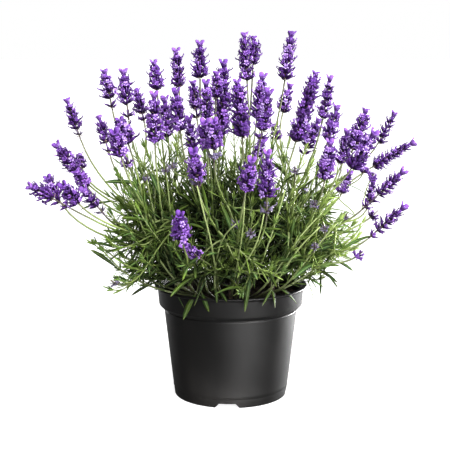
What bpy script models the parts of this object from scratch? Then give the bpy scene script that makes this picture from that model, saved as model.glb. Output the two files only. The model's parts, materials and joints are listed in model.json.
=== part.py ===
"""A lavender in full flower, growing in the round black nursery pot that it is sold in.

The parts are the pot, the potting soil that fills it, eight leafy branches that each stand in a hole in the soil,
and the flower heads, which sit on the ends of the branches' stalks. The small faded heads are one with their branch.
The origin is on the pot's axis, at the level that the pot stands on. +Z is up and -Y is the front.
"""

import math
import random
from collections import namedtuple

import bmesh
import bpy
import numpy as np
from mathutils import Vector

MM = 0.001
GAP = 0.3 * MM
WELD_DISTANCE = 0.01 * MM
UP = Vector((0, 0, 1))
NEARLY_ALONG_X = 0.8
SEED = 11

# The pot
RIM_RADIUS = 85 * MM
POT_HEIGHT = 125 * MM
LIP_HEIGHT = 2.2 * MM
LIP_OVERHANG = 3.8 * MM
BAND_FOOT_RADIUS = 79.4 * MM
BAND_FOOT_HEIGHT = 103 * MM
BODY_TOP_RADIUS = 74.1 * MM
BODY_TOP_HEIGHT = 98 * MM
FOOT_RADIUS = 62.8 * MM
FOOT_RING_WIDTH = 2.4 * MM
EDGE_ROUNDING = 1.5 * MM
WALL = 1.7 * MM
BASE_UNDERSIDE = 6 * MM
BASE_THICKNESS = 2 * MM
POT_SIDES = 32
NOTCHES = 4
NOTCH_TURN = math.radians(266.5)
NOTCH_BOTTOM_WIDTH = 27 * MM
NOTCH_TOP_WIDTH = 18 * MM
NOTCH_HEIGHT = 5 * MM
NOTCH_CUT_DEPTH = 12 * MM
DRAIN_RADIUS = 5 * MM
DRAIN_RING_RADIUS = 44 * MM
DRAIN_SIDES = 8

# The soil
SOIL_TOP = 112 * MM
SOIL_MOUND = 4 * MM
SOIL_CRUMB = 1.2 * MM
SOIL_WAVES_ALONG_X = 190
SOIL_WAVE_START = 1.3
SOIL_WAVES_ALONG_Y = 170
SOIL_CROSS_WAVES = 260
SOIL_CROSS_SHARE = 0.6
SOIL_SIDES = 16
SOIL_RINGS = (0.75, 0.4)
HOLE_OVER_SOIL = 4 * SOIL_MOUND

# The branches
BranchSite = namedtuple("BranchSite", "turn radius")
INNER_RADIUS = 17 * MM
OUTER_RADIUS = 52 * MM
BRANCH_SITES = [BranchSite(math.radians(turn), INNER_RADIUS) for turn in (10, 190)]
BRANCH_SITES += [BranchSite(math.radians(turn), OUTER_RADIUS) for turn in range(30, 390, 60)]
PLAN_SHRINK = 0.46
TRUNK_RADIUS = 2.7 * MM
TRUNK_IN_SOIL = 24 * MM
TRUNK_COLLAR = 8 * MM
TRUNK_RISE = 8 * MM
TRUNK_LEAN = 0.16
TRUNK_SIDES = 6

# The stems, which are the flower stalks and the leafy shoots
STEM_RADIUS = 1.15 * MM
STEM_SIDES = 3
STEM_SAMPLES = 36
STEM_SAMPLE_STEP = 3 * MM
STEM_STRETCHES = 3
STEM_FOOT_RADII = [2.3 * MM, 1.9 * MM, 1.5 * MM, 1.15 * MM]
SIDE_STEM_FORKS = (15 * MM, 29 * MM)
STEM_STIFF_SHARE = 1 / STEM_STRETCHES
STEM_YIELD_SHARE = 0.2
STALK_END_SHARE = 0.25
STEM_GAP = 7 * MM
STEM_BEND = 0.38
STEM_UPWARDS = 0.3
STALK_GAP = 2 * GAP
STALK_IN_SMALL_HEAD = 2 * MM
APART_ROUNDS = 24
APART_PUSH = 0.5
APART_SMOOTHING = 0.3
FOOT_PULL_POWER = 3
LEAST_DISTANCE = 0.01 * MM
SHOOTS = 28
SHOOT_REACHES = (78 * MM, 128 * MM)
SHOOT_REACH_SPREAD = (0.92, 1.08)
SHOOT_LOWEST = math.radians(9)
SHOOT_HIGHEST = math.radians(80)
GOLDEN_ANGLE = math.radians(137.5)

# The leaves
LEAF_LENGTH = (34 * MM, 49 * MM)
LEAF_WIDTH = 5 * MM
LEAF_ROOT_WIDTH = 0.8 * MM
LEAF_ROOT_THICKNESS = 1.0 * MM
LEAF_THICKNESS = 1.1 * MM
LEAF_WIDEST = 0.5
LEAF_DROOP = 0.30
LEAF_GAP = 1.0 * MM
LEAF_TRIES = 11
LEAF_TRY_SHRINK = 0.94
LEAF_SAMPLE_STEP = 2.5 * MM
LEAF_FOOT_SAMPLES = 2
LEAF_NEARBY = 2 * LEAF_LENGTH[1]
LEAF_TURN_ASIDE = math.radians(24)
LEAF_SPREAD_AT_TIP = math.radians(28)
LEAF_SPREAD_MORE_AT_FOOT = math.radians(32)
LEAF_ROOT_DEPTH = 0.4 * STEM_RADIUS
LEAF_OVER_SOIL = 10 * MM
LEAF_FIRST_STEPS = (0.8, 1.4)
SHOOT_PAIR_STEP = 17 * MM
PAIR_OFFSET = 1.7 * MM
STALK_LEAF_STEP = 30 * MM
STALK_LEAFY_PART = 0.55
RIM_CLEARANCE = 2 * MM
RIM_SAMPLE_STEP = 4 * MM
RIM_SAMPLES = 3 * POT_SIDES

# The flower heads
HEAD_SIDES = 5
HALF_STEP = math.pi / HEAD_SIDES
HEAD_FOOT_RADIUS = 1.7 * MM
WHORL_STEP = 9.2 * MM
CORE_RADIUS = 3.3 * MM
CORE_TAPER = 0.35
CORE_TAPER_POWER = 2
FLORET_REACH = 8.8 * MM
FLORET_LIFT = 2.6 * MM
LEAST_SWELL = 0.78
RING_ABOVE_STEP = 0.25
LONE_CORE_RADIUS = 2 * MM
LONE_HALF_HEIGHT = 3.1 * MM
LONE_NECK = 1.4 * LONE_HALF_HEIGHT
LONE_FOOT = 1.5 * LONE_HALF_HEIGHT
BLOOM_LINE_STEP = 4 * MM
TUFT_SPREAD = 4 * MM
TUFT_FORK = 2 * MM
HEAD_CLEARANCE = 12.5 * MM

# The heads are placed as an eye in front of the plant sees them: where each head's tip and foot lie in a square
# picture, in its pixels, and how far behind the pot's axis the tip is, in millimetres.
PICTURE_SIDE = 450
SIGHT_FOCAL = 1097
SIGHT_PITCH = math.radians(8.9)
EYE = Vector((-6.2, -1200, 378.3)) * MM
FOOT_DEPTH_SHARE = 0.88

# lone: how far below the head's foot its lone whorls sit, in millimetres
Bloom = namedtuple("Bloom", "tip foot depth lone", defaults=((),))
HEADS = [
    Bloom((27, 184), (52, 198), -62, (8, 18)),
    Bloom((47, 175), (57, 196), -12),
    Bloom((61, 184), (78, 203), -108),
    Bloom((55, 143), (76, 171), 50),
    Bloom((75, 170), (87, 187), 10),
    Bloom((82, 188), (97, 206), -40, (9,)),
    Bloom((66, 97), (77, 129), 95, (8,)),
    Bloom((98, 114), (106, 142), 130, (12,)),
    Bloom((104, 68), (110, 98), 55, (10,)),
    Bloom((123, 68), (127, 104), 5, (13,)),
    Bloom((119, 117), (128, 143), -50),
    Bloom((114, 130), (121, 156), -95),
    Bloom((136, 87), (142, 113), 90, (8,)),
    Bloom((154, 59), (157, 90), 20),
    Bloom((154, 91), (155, 142), -60),
    Bloom((164, 96), (168, 136), 50),
    Bloom((176, 48), (179, 87), 75),
    Bloom((175, 88), (180, 130), -35),
    Bloom((188, 116), (193, 147), 10),
    Bloom((193, 150), (197, 178), -130, (8,)),
    Bloom((200, 40), (200, 78), 30),
    Bloom((193, 80), (196, 109), 110, (10,)),
    Bloom((206, 79), (207, 118), -28),
    Bloom((204, 120), (208, 148), -70),
    Bloom((214, 119), (214, 149), -97, (10,)),
    Bloom((224, 60), (221, 136), 22),
    Bloom((217, 70), (216, 98), 0),
    Bloom((237, 78), (242, 137), -38),
    Bloom((244, 31), (247, 80), 55),
    Bloom((254, 35), (253, 64), 85),
    Bloom((263, 73), (257, 118), 15),
    Bloom((269, 89), (262, 130), -62, (8,)),
    Bloom((292, 30), (285, 79), 35),
    Bloom((291, 83), (283, 112), 110),
    Bloom((317, 70), (296, 141), -10),
    Bloom((331, 75), (323, 118), 50),
    Bloom((320, 118), (307, 147), 105, (8,)),
    Bloom((338, 104), (328, 140), 5),
    Bloom((331, 139), (325, 179), -80),
    Bloom((348, 129), (343, 161), 75),
    Bloom((367, 107), (353, 149), 30),
    Bloom((376, 131), (352, 168), -45),
    Bloom((396, 111), (379, 142), 95),
    Bloom((416, 141), (374, 166), 62),
    Bloom((406, 169), (379, 194), -40, (10, 20)),
    Bloom((374, 179), (369, 203), 100),
    Bloom((407, 205), (378, 230), -90, (9,)),
    Bloom((252, 158), (246, 190), -145),
    Bloom((268, 150), (267, 197), -108, (16,)),
    Bloom((179, 213), (182, 239), -167),
]
SMALL_HEADS = [
    Bloom((79, 154), (82, 168), 110),
    Bloom((382, 207), (371, 217), 50),
    Bloom((366, 249), (356, 257), -48),
    Bloom((351, 170), (342, 193), 25),
    Bloom((262, 140), (257, 156), -22),
    Bloom((183, 244), (198, 257), -118),
    Bloom((275, 124), (276, 139), 70),
    Bloom((251, 226), (251, 235), -118),
    Bloom((295, 163), (295, 173), -60),
    Bloom((322, 218), (325, 230), -85),
    Bloom((315, 239), (315, 248), -110),
    Bloom((108, 278), (116, 284), -60),
]
# These stand behind the leaves.
SMALL_HEADS += [
    Bloom((150, 190), (156, 212), 150),
    Bloom((192, 172), (195, 196), 168),
    Bloom((232, 186), (231, 210), 172),
    Bloom((270, 168), (265, 192), 165),
    Bloom((305, 188), (298, 210), 150),
]

COLOURS = {
    "pot": (0.035, 0.035, 0.037),
    "potting_soil": (0.022, 0.015, 0.010),
    "leafy_branch": (0.16, 0.25, 0.06),
    "flower_head": (0.19, 0.07, 0.48),
}
ROUGHNESS = {"pot": 0.45, "potting_soil": 0.95, "leafy_branch": 0.6, "flower_head": 0.7}
SHARP_ANGLE = math.radians(35)

StemEnd = namedtuple("StemEnd", "point direction bloom", defaults=(None,))
Stem = namedtuple("Stem", "branch level points bloom parent fork")
Leaf = namedtuple("Leaf", "root middle tip side normal")


def material(kind):
    """The Principled material of one kind of part."""
    made = bpy.data.materials.get(kind) or bpy.data.materials.new(kind)
    made.use_nodes = True
    shader = made.node_tree.nodes["Principled BSDF"]
    shader.inputs["Base Color"].default_value = (*COLOURS[kind], 1)
    shader.inputs["Roughness"].default_value = ROUGHNESS[kind]
    shader.inputs["Metallic"].default_value = 0
    return made


def add_object(name, mesh, kind, collection=None):
    """An object of this mesh and kind, in the scene or in a collection."""
    mesh.materials.clear()
    mesh.materials.append(material(kind))
    made = bpy.data.objects.new(name, mesh)
    (collection or bpy.context.scene.collection).objects.link(made)
    return made


def mesh_from(name, points, faces):
    """A closed mesh of these points and faces, with its faces turned outwards."""
    made = bpy.data.meshes.new(name)
    made.from_pydata([tuple(point) for point in points], [], faces)
    shaped = bmesh.new()
    shaped.from_mesh(made)
    bmesh.ops.triangulate(shaped, faces=shaped.faces)
    bmesh.ops.recalc_face_normals(shaped, faces=shaped.faces)
    shaped.to_mesh(made)
    shaped.free()
    return made


def turned(name, profile, sides):
    """A solid of revolution about Z. The profile is (radius, height) pairs, from the axis round to the axis."""
    shaped = bmesh.new()
    corners = [shaped.verts.new((radius, 0, height)) for radius, height in profile]
    edges = [shaped.edges.new(pair) for pair in zip(corners, corners[1:])]
    bmesh.ops.spin(
        shaped, geom=corners + edges, axis=(0, 0, 1), cent=(0, 0, 0), steps=sides, angle=math.tau, use_merge=True
    )
    bmesh.ops.remove_doubles(shaped, verts=shaped.verts, dist=WELD_DISTANCE)
    bmesh.ops.recalc_face_normals(shaped, faces=shaped.faces)
    made = bpy.data.meshes.new(name)
    shaped.to_mesh(made)
    shaped.free()
    return made


def side_vectors(direction):
    """Two unit vectors at right angles to this direction and to each other."""
    helper = Vector((1, 0, 0)) if abs(direction.x) < NEARLY_ALONG_X else Vector((0, 1, 0))
    across = direction.cross(helper).normalized()
    return across, direction.cross(across).normalized()


def ring(centre, direction, radius, sides, turn=0.0):
    """The corners of a regular polygon about a point."""
    across, along = side_vectors(direction)
    angles = [turn + math.tau * side / sides for side in range(sides)]
    return [centre + across * (radius * math.cos(a)) + along * (radius * math.sin(a)) for a in angles]


def tube(name, path, radii, sides, turn=0.0):
    """A closed tube of flat sides along a path."""
    corners = []
    for step, (point, radius) in enumerate(zip(path, radii)):
        before, after = path[max(step - 1, 0)], path[min(step + 1, len(path) - 1)]
        corners += ring(point, (after - before).normalized(), radius, sides, turn)
    faces = [list(range(sides)), list(range(len(corners) - sides, len(corners)))]
    for step in range(len(path) - 1):
        for side in range(sides):
            near, far = step * sides + side, step * sides + (side + 1) % sides
            faces.append([near, far, far + sides, near + sides])
    return mesh_from(name, corners, faces)


def apply_boolean(target, operation, collection, solver="EXACT"):
    """Joins or cuts an object with everything in a collection, which is then removed."""
    modifier = target.modifiers.new("Boolean", "BOOLEAN")
    modifier.operation = operation
    modifier.solver = solver
    modifier.operand_type = "COLLECTION"
    modifier.collection = collection
    graph = bpy.context.evaluated_depsgraph_get()
    result = bpy.data.meshes.new_from_object(target.evaluated_get(graph))
    target.modifiers.clear()
    target.data = result
    for used in list(collection.objects):
        bpy.data.objects.remove(used)
    bpy.data.collections.remove(collection)


def new_collection(name):
    made = bpy.data.collections.new(name)
    bpy.context.scene.collection.children.link(made)
    return made


def cut(target, meshes):
    """Cuts these meshes out of an object, all at once."""
    cutters = new_collection("cutters")
    for number, mesh in enumerate(meshes):
        cutter = bpy.data.objects.new(f"cutter_{number}", mesh)
        cutter.hide_render = True
        cutter.display_type = "WIRE"
        cutters.objects.link(cutter)
    apply_boolean(target, "DIFFERENCE", cutters)


def shade(part):
    """Smooth shading, with the edges that are sharp on the real thing kept."""
    part.data.shade_smooth()
    part.data.set_sharp_from_angle(angle=SHARP_ANGLE)


def pot_profile():
    """(radius, height) down the outside of the pot, under its base, and up the inside."""
    lip_foot = POT_HEIGHT - LIP_HEIGHT
    ring_inside = FOOT_RADIUS - EDGE_ROUNDING - FOOT_RING_WIDTH
    outside = [
        (RIM_RADIUS, POT_HEIGHT),
        (RIM_RADIUS, lip_foot),
        (RIM_RADIUS - LIP_OVERHANG, lip_foot - LIP_HEIGHT),
        (BAND_FOOT_RADIUS, BAND_FOOT_HEIGHT),
        (BODY_TOP_RADIUS, BODY_TOP_HEIGHT),
        (FOOT_RADIUS, EDGE_ROUNDING),
        (FOOT_RADIUS - EDGE_ROUNDING, 0),
        (ring_inside, 0),
        (ring_inside, BASE_UNDERSIDE),
        (0, BASE_UNDERSIDE),
    ]
    return outside + [(0, BASE_UNDERSIDE + BASE_THICKNESS), *inner_wall(), (RIM_RADIUS, POT_HEIGHT)]


def inner_wall():
    """(radius, height) up the inside of the pot, from its base to the lip."""
    floor = BASE_UNDERSIDE + BASE_THICKNESS
    slope = (BODY_TOP_RADIUS - FOOT_RADIUS) / (BODY_TOP_HEIGHT - EDGE_ROUNDING)
    return [
        (FOOT_RADIUS + slope * floor - WALL, floor),
        (BODY_TOP_RADIUS - WALL, BODY_TOP_HEIGHT + WALL / 2),
        (BAND_FOOT_RADIUS - WALL, BAND_FOOT_HEIGHT + WALL / 2),
        (RIM_RADIUS - LIP_OVERHANG - WALL, POT_HEIGHT - LIP_HEIGHT),
        (RIM_RADIUS - LIP_OVERHANG, POT_HEIGHT),
    ]


def notch_mesh(turn):
    """The wedge that cuts one drainage notch through the foot ring."""
    outwards = Vector((math.cos(turn), math.sin(turn), 0))
    across = Vector((-math.sin(turn), math.cos(turn), 0))
    half_bottom, half_top = NOTCH_BOTTOM_WIDTH / 2, NOTCH_TOP_WIDTH / 2
    half_below = 2 * half_bottom - half_top
    outline = [
        (-half_below, -NOTCH_HEIGHT),
        (half_below, -NOTCH_HEIGHT),
        (half_top, NOTCH_HEIGHT),
        (-half_top, NOTCH_HEIGHT),
    ]
    points = []
    for distance in (FOOT_RADIUS - NOTCH_CUT_DEPTH, FOOT_RADIUS + NOTCH_CUT_DEPTH):
        points += [outwards * distance + across * side + UP * height for side, height in outline]
    faces = [[0, 1, 2, 3], [4, 5, 6, 7]] + [[k, (k + 1) % 4, 4 + (k + 1) % 4, 4 + k] for k in range(4)]
    return mesh_from("notch", points, faces)


def drain_mesh(turn):
    """The cutter of one drain hole in the base."""
    centre = Vector((math.cos(turn), math.sin(turn), 0)) * DRAIN_RING_RADIUS
    path = [centre + UP * (BASE_UNDERSIDE - WALL), centre + UP * (BASE_UNDERSIDE + BASE_THICKNESS + WALL)]
    return tube("drain", path, [DRAIN_RADIUS] * 2, DRAIN_SIDES)


def build_pot():
    pot = add_object("pot", turned("pot", pot_profile(), POT_SIDES), "pot")
    turns = [NOTCH_TURN + math.tau * number / NOTCHES for number in range(NOTCHES)]
    cut(pot, [notch_mesh(turn) for turn in turns] + [drain_mesh(turn) for turn in turns])
    shade(pot)


def soil_height(x, y):
    """The soil's surface, which rises a little to the middle and is uneven."""
    share = math.hypot(x, y) / OUTER_RADIUS
    waves = math.sin(x * SOIL_WAVES_ALONG_X + SOIL_WAVE_START) * math.cos(y * SOIL_WAVES_ALONG_Y)
    waves += SOIL_CROSS_SHARE * math.sin((x + 2 * y) * SOIL_CROSS_WAVES)
    return SOIL_TOP + SOIL_MOUND * (1 - share**2 / 2) + SOIL_CRUMB * waves


def build_soil():
    """The soil fills the pot to a little below its rim, and has a hole for each branch's foot."""
    foot = BASE_UNDERSIDE + BASE_THICKNESS + GAP
    wall = [(radius - GAP, height) for radius, height in inner_wall()[:3]]
    edge = BAND_FOOT_RADIUS - WALL - GAP
    profile = [(0, foot), (wall[0][0], foot), wall[1], wall[2], (edge, SOIL_TOP - SOIL_MOUND)]
    profile += [(edge * share, SOIL_TOP) for share in SOIL_RINGS] + [(0, SOIL_TOP)]
    mesh = turned("potting_soil", profile, SOIL_SIDES)
    for corner in mesh.vertices:
        if corner.co.z > SOIL_TOP - SOIL_CRUMB:
            corner.co.z = soil_height(corner.co.x, corner.co.y)
    soil = add_object("potting_soil", mesh, "potting_soil")
    cut(soil, [hole_mesh(site) for site in BRANCH_SITES])


def hole_mesh(site):
    """The cutter of the hole that a branch's foot stands in."""
    path = [site_point(site, SOIL_TOP - TRUNK_IN_SOIL - GAP), site_point(site, SOIL_TOP + HOLE_OVER_SOIL)]
    return tube("hole", path, [TRUNK_RADIUS + GAP] * 2, TRUNK_SIDES)


def site_point(site, height):
    """The point over a branch's hole at this height."""
    return Vector((site.radius * math.cos(site.turn), site.radius * math.sin(site.turn), height))


def trunk_path(site):
    """The woody foot of a branch: upright in its hole, then leaning outwards."""
    foot = site_point(site, SOIL_TOP - TRUNK_IN_SOIL)
    collar = site_point(site, SOIL_TOP + TRUNK_COLLAR)
    lean = site_point(site, 0) * (TRUNK_LEAN / OUTER_RADIUS)
    return [foot, collar, collar + (UP + lean).normalized() * TRUNK_RISE]


def seen_at(pixel, depth):
    """The point that the eye sees at this pixel, this far behind the pot's axis."""
    right = (pixel[0] - PICTURE_SIDE / 2) / SIGHT_FOCAL
    up = (PICTURE_SIDE / 2 - pixel[1]) / SIGHT_FOCAL
    cosine, sine = math.cos(SIGHT_PITCH), math.sin(SIGHT_PITCH)
    ray = Vector((right, cosine + up * sine, up * cosine - sine))
    return EYE + ray * ((depth - EYE.y) / ray.y)


def bloom_ends(bloom):
    """(lowest point, foot of the main head, tip). The lone whorls lie between the first two."""
    foot = seen_at(bloom.foot, bloom.depth * FOOT_DEPTH_SHARE * MM)
    tip = seen_at(bloom.tip, bloom.depth * MM)
    below = max(bloom.lone) * MM + LONE_FOOT if bloom.lone else 0
    return foot + (foot - tip).normalized() * below, foot, tip


def bloom_line(bloom, step=BLOOM_LINE_STEP):
    """Points up the middle of a head and its lone whorls."""
    lowest, _, tip = bloom_ends(bloom)
    count = max(2, round((tip - lowest).length / step))
    return [lowest.lerp(tip, number / (count - 1)) for number in range(count)]


def nearest_branch(point):
    """The number of the branch that a stem ending over this point grows from."""
    aim = Vector((point.x, point.y, 0)) * PLAN_SHRINK
    return min(range(len(BRANCH_SITES)), key=lambda number: (site_point(BRANCH_SITES[number], 0) - aim).length)


def bent_path(start, end, end_direction):
    """Points along a stem that leaves the trunk upwards and outwards and ends in this direction."""
    span = (end - start).length
    heading = (end - start).normalized() * (1 - STEM_UPWARDS) + UP * STEM_UPWARDS
    first = start + heading.normalized() * (STEM_BEND * span)
    second = end - end_direction * (STEM_BEND * span)
    points = []
    for sample in range(STEM_SAMPLES):
        t = sample / (STEM_SAMPLES - 1)
        s = 1 - t
        points.append(start * s**3 + first * (3 * s * s * t) + second * (3 * s * t * t) + end * t**3)
    return np.array(points)


def stalk_ends():
    """Where each bloom's stalk ends. A small head is joined to its stalk, which runs on into it."""
    for bloom in HEADS + SMALL_HEADS:
        lowest, foot, tip = bloom_ends(bloom)
        axis = (tip - foot).normalized()
        yield StemEnd(lowest + axis * (-STALK_GAP if bloom in HEADS else STALK_IN_SMALL_HEAD), axis, bloom)


def shoot_ends(draw):
    """Where each leafy shoot ends, spread evenly over a dome that is widest above the rim."""
    middle = Vector((0, 0, SOIL_TOP))
    lowest, highest = math.sin(SHOOT_LOWEST), math.sin(SHOOT_HIGHEST)
    for number in range(SHOOTS):
        turn = number * GOLDEN_ANGLE
        height = lowest + (highest - lowest) * (number + 0.5) / SHOOTS
        level = math.sqrt(1 - height**2)
        direction = Vector((math.cos(turn) * level, math.sin(turn) * level, height))
        reach = SHOOT_REACHES[0] + (SHOOT_REACHES[1] - SHOOT_REACHES[0]) * math.sqrt(height)
        end = middle + direction * (reach * draw.uniform(*SHOOT_REACH_SPREAD))
        yield StemEnd(end, (direction + UP * STEM_UPWARDS).normalized())


def stem_foot(branch, parent, fork):
    """Where a stem starts: in the top of its branch's woody foot, or this far along the stem that carries it."""
    if parent is None:
        return trunk_path(BRANCH_SITES[branch])[-1] - UP * TRUNK_RADIUS
    return point_along(stretches(parent), fork)[0]


def add_stems(branch, level, parent, fork, ends, stems):
    """A leading stem to the middlemost end, which carries the stems to the other ends as two side stems."""
    start = stem_foot(branch, parent, fork)
    headings = np.array([(end.point - start).normalized() for end in ends])
    offsets = headings - headings.mean(axis=0)
    leader = int(np.linalg.norm(offsets, axis=1).argmin())
    end = ends[leader]
    stem = Stem(branch, level, bent_path(start, end.point, end.direction), end.bloom, parent, fork)
    stems.append(stem)
    widest = np.linalg.svd(offsets)[2][0]
    others = sorted(set(range(len(ends))) - {leader}, key=lambda place: offsets[place] @ widest)
    middle = len(others) // 2
    for side_fork, side in zip(SIDE_STEM_FORKS, (others[:middle], others[middle:])):
        if side:
            add_stems(branch, level + 1, stem, side_fork, [ends[number] for number in side], stems)


def grow_stems(draw):
    """Every stem of the plant: a stalk for each bloom, and the leafy shoots."""
    ends = [*stalk_ends(), *shoot_ends(draw)]
    stems = []
    for branch in range(len(BRANCH_SITES)):
        own = [end for end in ends if nearest_branch(end.point) == branch]
        add_stems(branch, 0, None, 0, own, stems)
    return stems


def keep_apart(stems):
    """Bends the stems so that they pass each other and the heads at a distance. Stalks keep their ends."""
    blooms = HEADS + SMALL_HEADS
    bloom_points = np.array([point for bloom in blooms for point in bloom_line(bloom)])
    bloom_owner = np.array([number for number, bloom in enumerate(blooms) for _ in bloom_line(bloom)])
    share = np.linspace(0, 1, STEM_SAMPLES)
    shoot_give = np.clip((share - STEM_STIFF_SHARE) / STEM_YIELD_SHARE, 0, 1)[:, None]
    stalk_give = np.minimum(shoot_give, np.clip((1 - share) / STALK_END_SHARE, 0, 1)[:, None])
    for _ in range(APART_ROUNDS):
        lines = np.array([stem.points for stem in stems])
        for number, stem in enumerate(stems):
            give = stalk_give if stem.bloom else shoot_give
            own = blooms.index(stem.bloom) if stem.bloom else None
            others = np.delete(lines, number, axis=0).reshape(-1, 3)
            push = away_from(stem.points, others, STEM_GAP)
            push += away_from(stem.points, bloom_points[bloom_owner != own], HEAD_CLEARANCE)
            stem.points[:] += push * give * APART_PUSH
            smooth = (stem.points[:-2] + stem.points[2:]) / 2
            stem.points[1:-1] += (smooth - stem.points[1:-1]) * give[1:-1] * APART_SMOOTHING
        for stem in stems:
            foot = np.array(stem_foot(stem.branch, stem.parent, stem.fork))
            stem.points[:] += (foot - stem.points[0]) * (1 - share[:, None]) ** FOOT_PULL_POWER


def away_from(points, obstacles, gap):
    """How far each point has to move to be this far from the obstacle nearest to it."""
    offsets = points[:, None] - obstacles[None]
    distances = np.linalg.norm(offsets, axis=2)
    nearest = distances.argmin(axis=1)
    rows = np.arange(len(points))
    distance = distances[rows, nearest]
    missing = np.clip(gap - distance, 0, None) / np.maximum(distance, LEAST_DISTANCE)
    return offsets[rows, nearest] * missing[:, None]


def stretches(stem):
    """The few points that a stem's flat-sided tube runs through."""
    picked = np.linspace(0, STEM_SAMPLES - 1, STEM_STRETCHES + 1).round().astype(int)
    return [Vector(stem.points[number]) for number in picked]


def stem_mesh(stem, turn):
    path = stretches(stem)
    foot = STEM_FOOT_RADII[min(stem.level, len(STEM_FOOT_RADII) - 1)]
    return tube("stem", path, [foot] + [STEM_RADIUS] * (len(path) - 1), STEM_SIDES, turn)


def path_length(path):
    return sum((far - near).length for near, far in zip(path, path[1:]))


def point_along(path, distance):
    """(point, direction) at this distance along a path."""
    for near, far in zip(path, path[1:]):
        length = (far - near).length
        if distance <= length:
            break
        distance -= length
    return near.lerp(far, distance / length), (far - near).normalized()


def path_samples(path, step=STEM_SAMPLE_STEP):
    """Points along a path, this far apart."""
    count = math.ceil(path_length(path) / step)
    return [point_along(path, path_length(path) * number / count)[0] for number in range(count + 1)]


def leaf_at(root, stem_direction, turn, spread, length):
    """A leaf from a stem: turn is its place round the stem, and spread its angle from it."""
    across, along = side_vectors(stem_direction)
    outwards = across * math.cos(turn) + along * math.sin(turn)
    heading = stem_direction * math.cos(spread) + outwards * math.sin(spread)
    normal = stem_direction * math.sin(spread) - outwards * math.cos(spread)
    root = root - heading * LEAF_ROOT_DEPTH
    middle = root + heading * (length * LEAF_WIDEST)
    tip = middle + (heading - UP * LEAF_DROOP).normalized() * (length * (1 - LEAF_WIDEST))
    return Leaf(root, middle, tip, heading.cross(normal).normalized(), normal)


def leaf_samples(leaf):
    """Points along the leaf, past its root."""
    return np.array(path_samples([leaf.root, leaf.middle, leaf.tip], LEAF_SAMPLE_STEP)[2:])


def leaf_mesh(leaf):
    """The blade: flat above, with a ribbed keel below, pointed at the tip."""
    root_side = leaf.side * (LEAF_ROOT_WIDTH / 2)
    wide_side = leaf.side * (LEAF_WIDTH / 2)
    keel = leaf.normal * LEAF_THICKNESS
    points = [leaf.root - root_side, leaf.root + root_side, leaf.root - leaf.normal * LEAF_ROOT_THICKNESS]
    points += [leaf.middle - wide_side, leaf.middle + wide_side, leaf.middle - keel, leaf.tip]
    faces = [[0, 1, 2], [0, 1, 4, 3], [1, 2, 5, 4], [2, 0, 3, 5], [3, 4, 6], [4, 5, 6], [5, 3, 6]]
    return mesh_from("leaf", points, faces)


class Surroundings:
    """The places already taken, as points with a radius and the number of the branch that they belong to."""

    def __init__(self):
        self.points = np.zeros((0, 3))
        self.radii = np.zeros(0)
        self.branches = np.zeros(0, int)

    def add(self, points, radius, branch):
        self.points = np.concatenate([self.points, np.array(points)])
        self.radii = np.concatenate([self.radii, np.full(len(points), radius)])
        self.branches = np.concatenate([self.branches, np.full(len(points), branch)])

    def clear_of(self, points, radius, branch):
        """Whether these points stay clear of other branches, and all but the first of their own branch too."""
        near = np.linalg.norm(self.points - points[len(points) // 2], axis=1) < LEAF_NEARBY
        apart = np.linalg.norm(points[:, None] - self.points[None, near], axis=2)
        apart = apart - self.radii[None, near] - radius
        own = self.branches[near] == branch
        if apart[:, ~own].min(initial=1) < LEAF_GAP:
            return False
        return apart[LEAF_FOOT_SAMPLES:, own].min(initial=1) > 0


def rim_points():
    """Points round the pot's rim and band, which the leaves hang clear of."""
    points = []
    for height in np.arange(BODY_TOP_HEIGHT, POT_HEIGHT, RIM_SAMPLE_STEP):
        for side in range(RIM_SAMPLES):
            turn = math.tau * side / RIM_SAMPLES
            points.append((RIM_RADIUS * math.cos(turn), RIM_RADIUS * math.sin(turn), height))
    return points


def above_soil(points):
    """Whether points inside the pot's rim stay over the soil."""
    inside = np.hypot(points[:, 0], points[:, 1]) < RIM_RADIUS
    return bool((points[inside, 2] > SOIL_TOP + LEAF_OVER_SOIL).all())


def place_leaves(stems, draw):
    """{branch number: leaves}. A leaf that would cross another branch is turned aside, or else left out."""
    taken = Surroundings()
    taken.add(rim_points(), RIM_CLEARANCE, None)
    for bloom in HEADS + SMALL_HEADS:
        taken.add(bloom_line(bloom), FLORET_REACH, -1)
    for stem in stems:
        taken.add(path_samples(stretches(stem)), STEM_RADIUS, stem.branch)
    leaves = {number: [] for number in range(len(BRANCH_SITES))}
    for stem in stems:
        path = stretches(stem)
        total = path_length(path)
        leafy = total * STALK_LEAFY_PART if stem.bloom else total - 2 * PAIR_OFFSET
        step = STALK_LEAF_STEP if stem.bloom else SHOOT_PAIR_STEP
        distance = draw.uniform(*LEAF_FIRST_STEPS) * step
        turn = draw.uniform(0, math.tau)
        while distance < leafy:
            for side in range(1 if stem.bloom else 2):
                spread = LEAF_SPREAD_AT_TIP + LEAF_SPREAD_MORE_AT_FOOT * (1 - distance / total)
                place = point_along(path, distance + side * PAIR_OFFSET)
                leaf = free_leaf(place, turn + side * math.pi, spread, stem.branch, taken, draw)
                if leaf:
                    taken.add(leaf_samples(leaf), LEAF_WIDTH / 2, stem.branch)
                    leaves[stem.branch].append(leaf)
            turn += math.pi / 2
            distance += step
    return leaves


def free_leaf(place, turn, spread, branch, taken, draw):
    """A leaf at this place that crosses nothing, or None."""
    root, direction = place
    length = draw.uniform(*LEAF_LENGTH)
    for attempt in range(LEAF_TRIES):
        aside = LEAF_TURN_ASIDE * ((attempt + 1) // 2) * (-1) ** attempt
        leaf = leaf_at(root, direction, turn + aside, spread, length * LEAF_TRY_SHRINK**attempt)
        points = leaf_samples(leaf)
        if above_soil(points) and taken.clear_of(points, LEAF_WIDTH / 2, branch):
            return leaf
    return None


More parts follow.
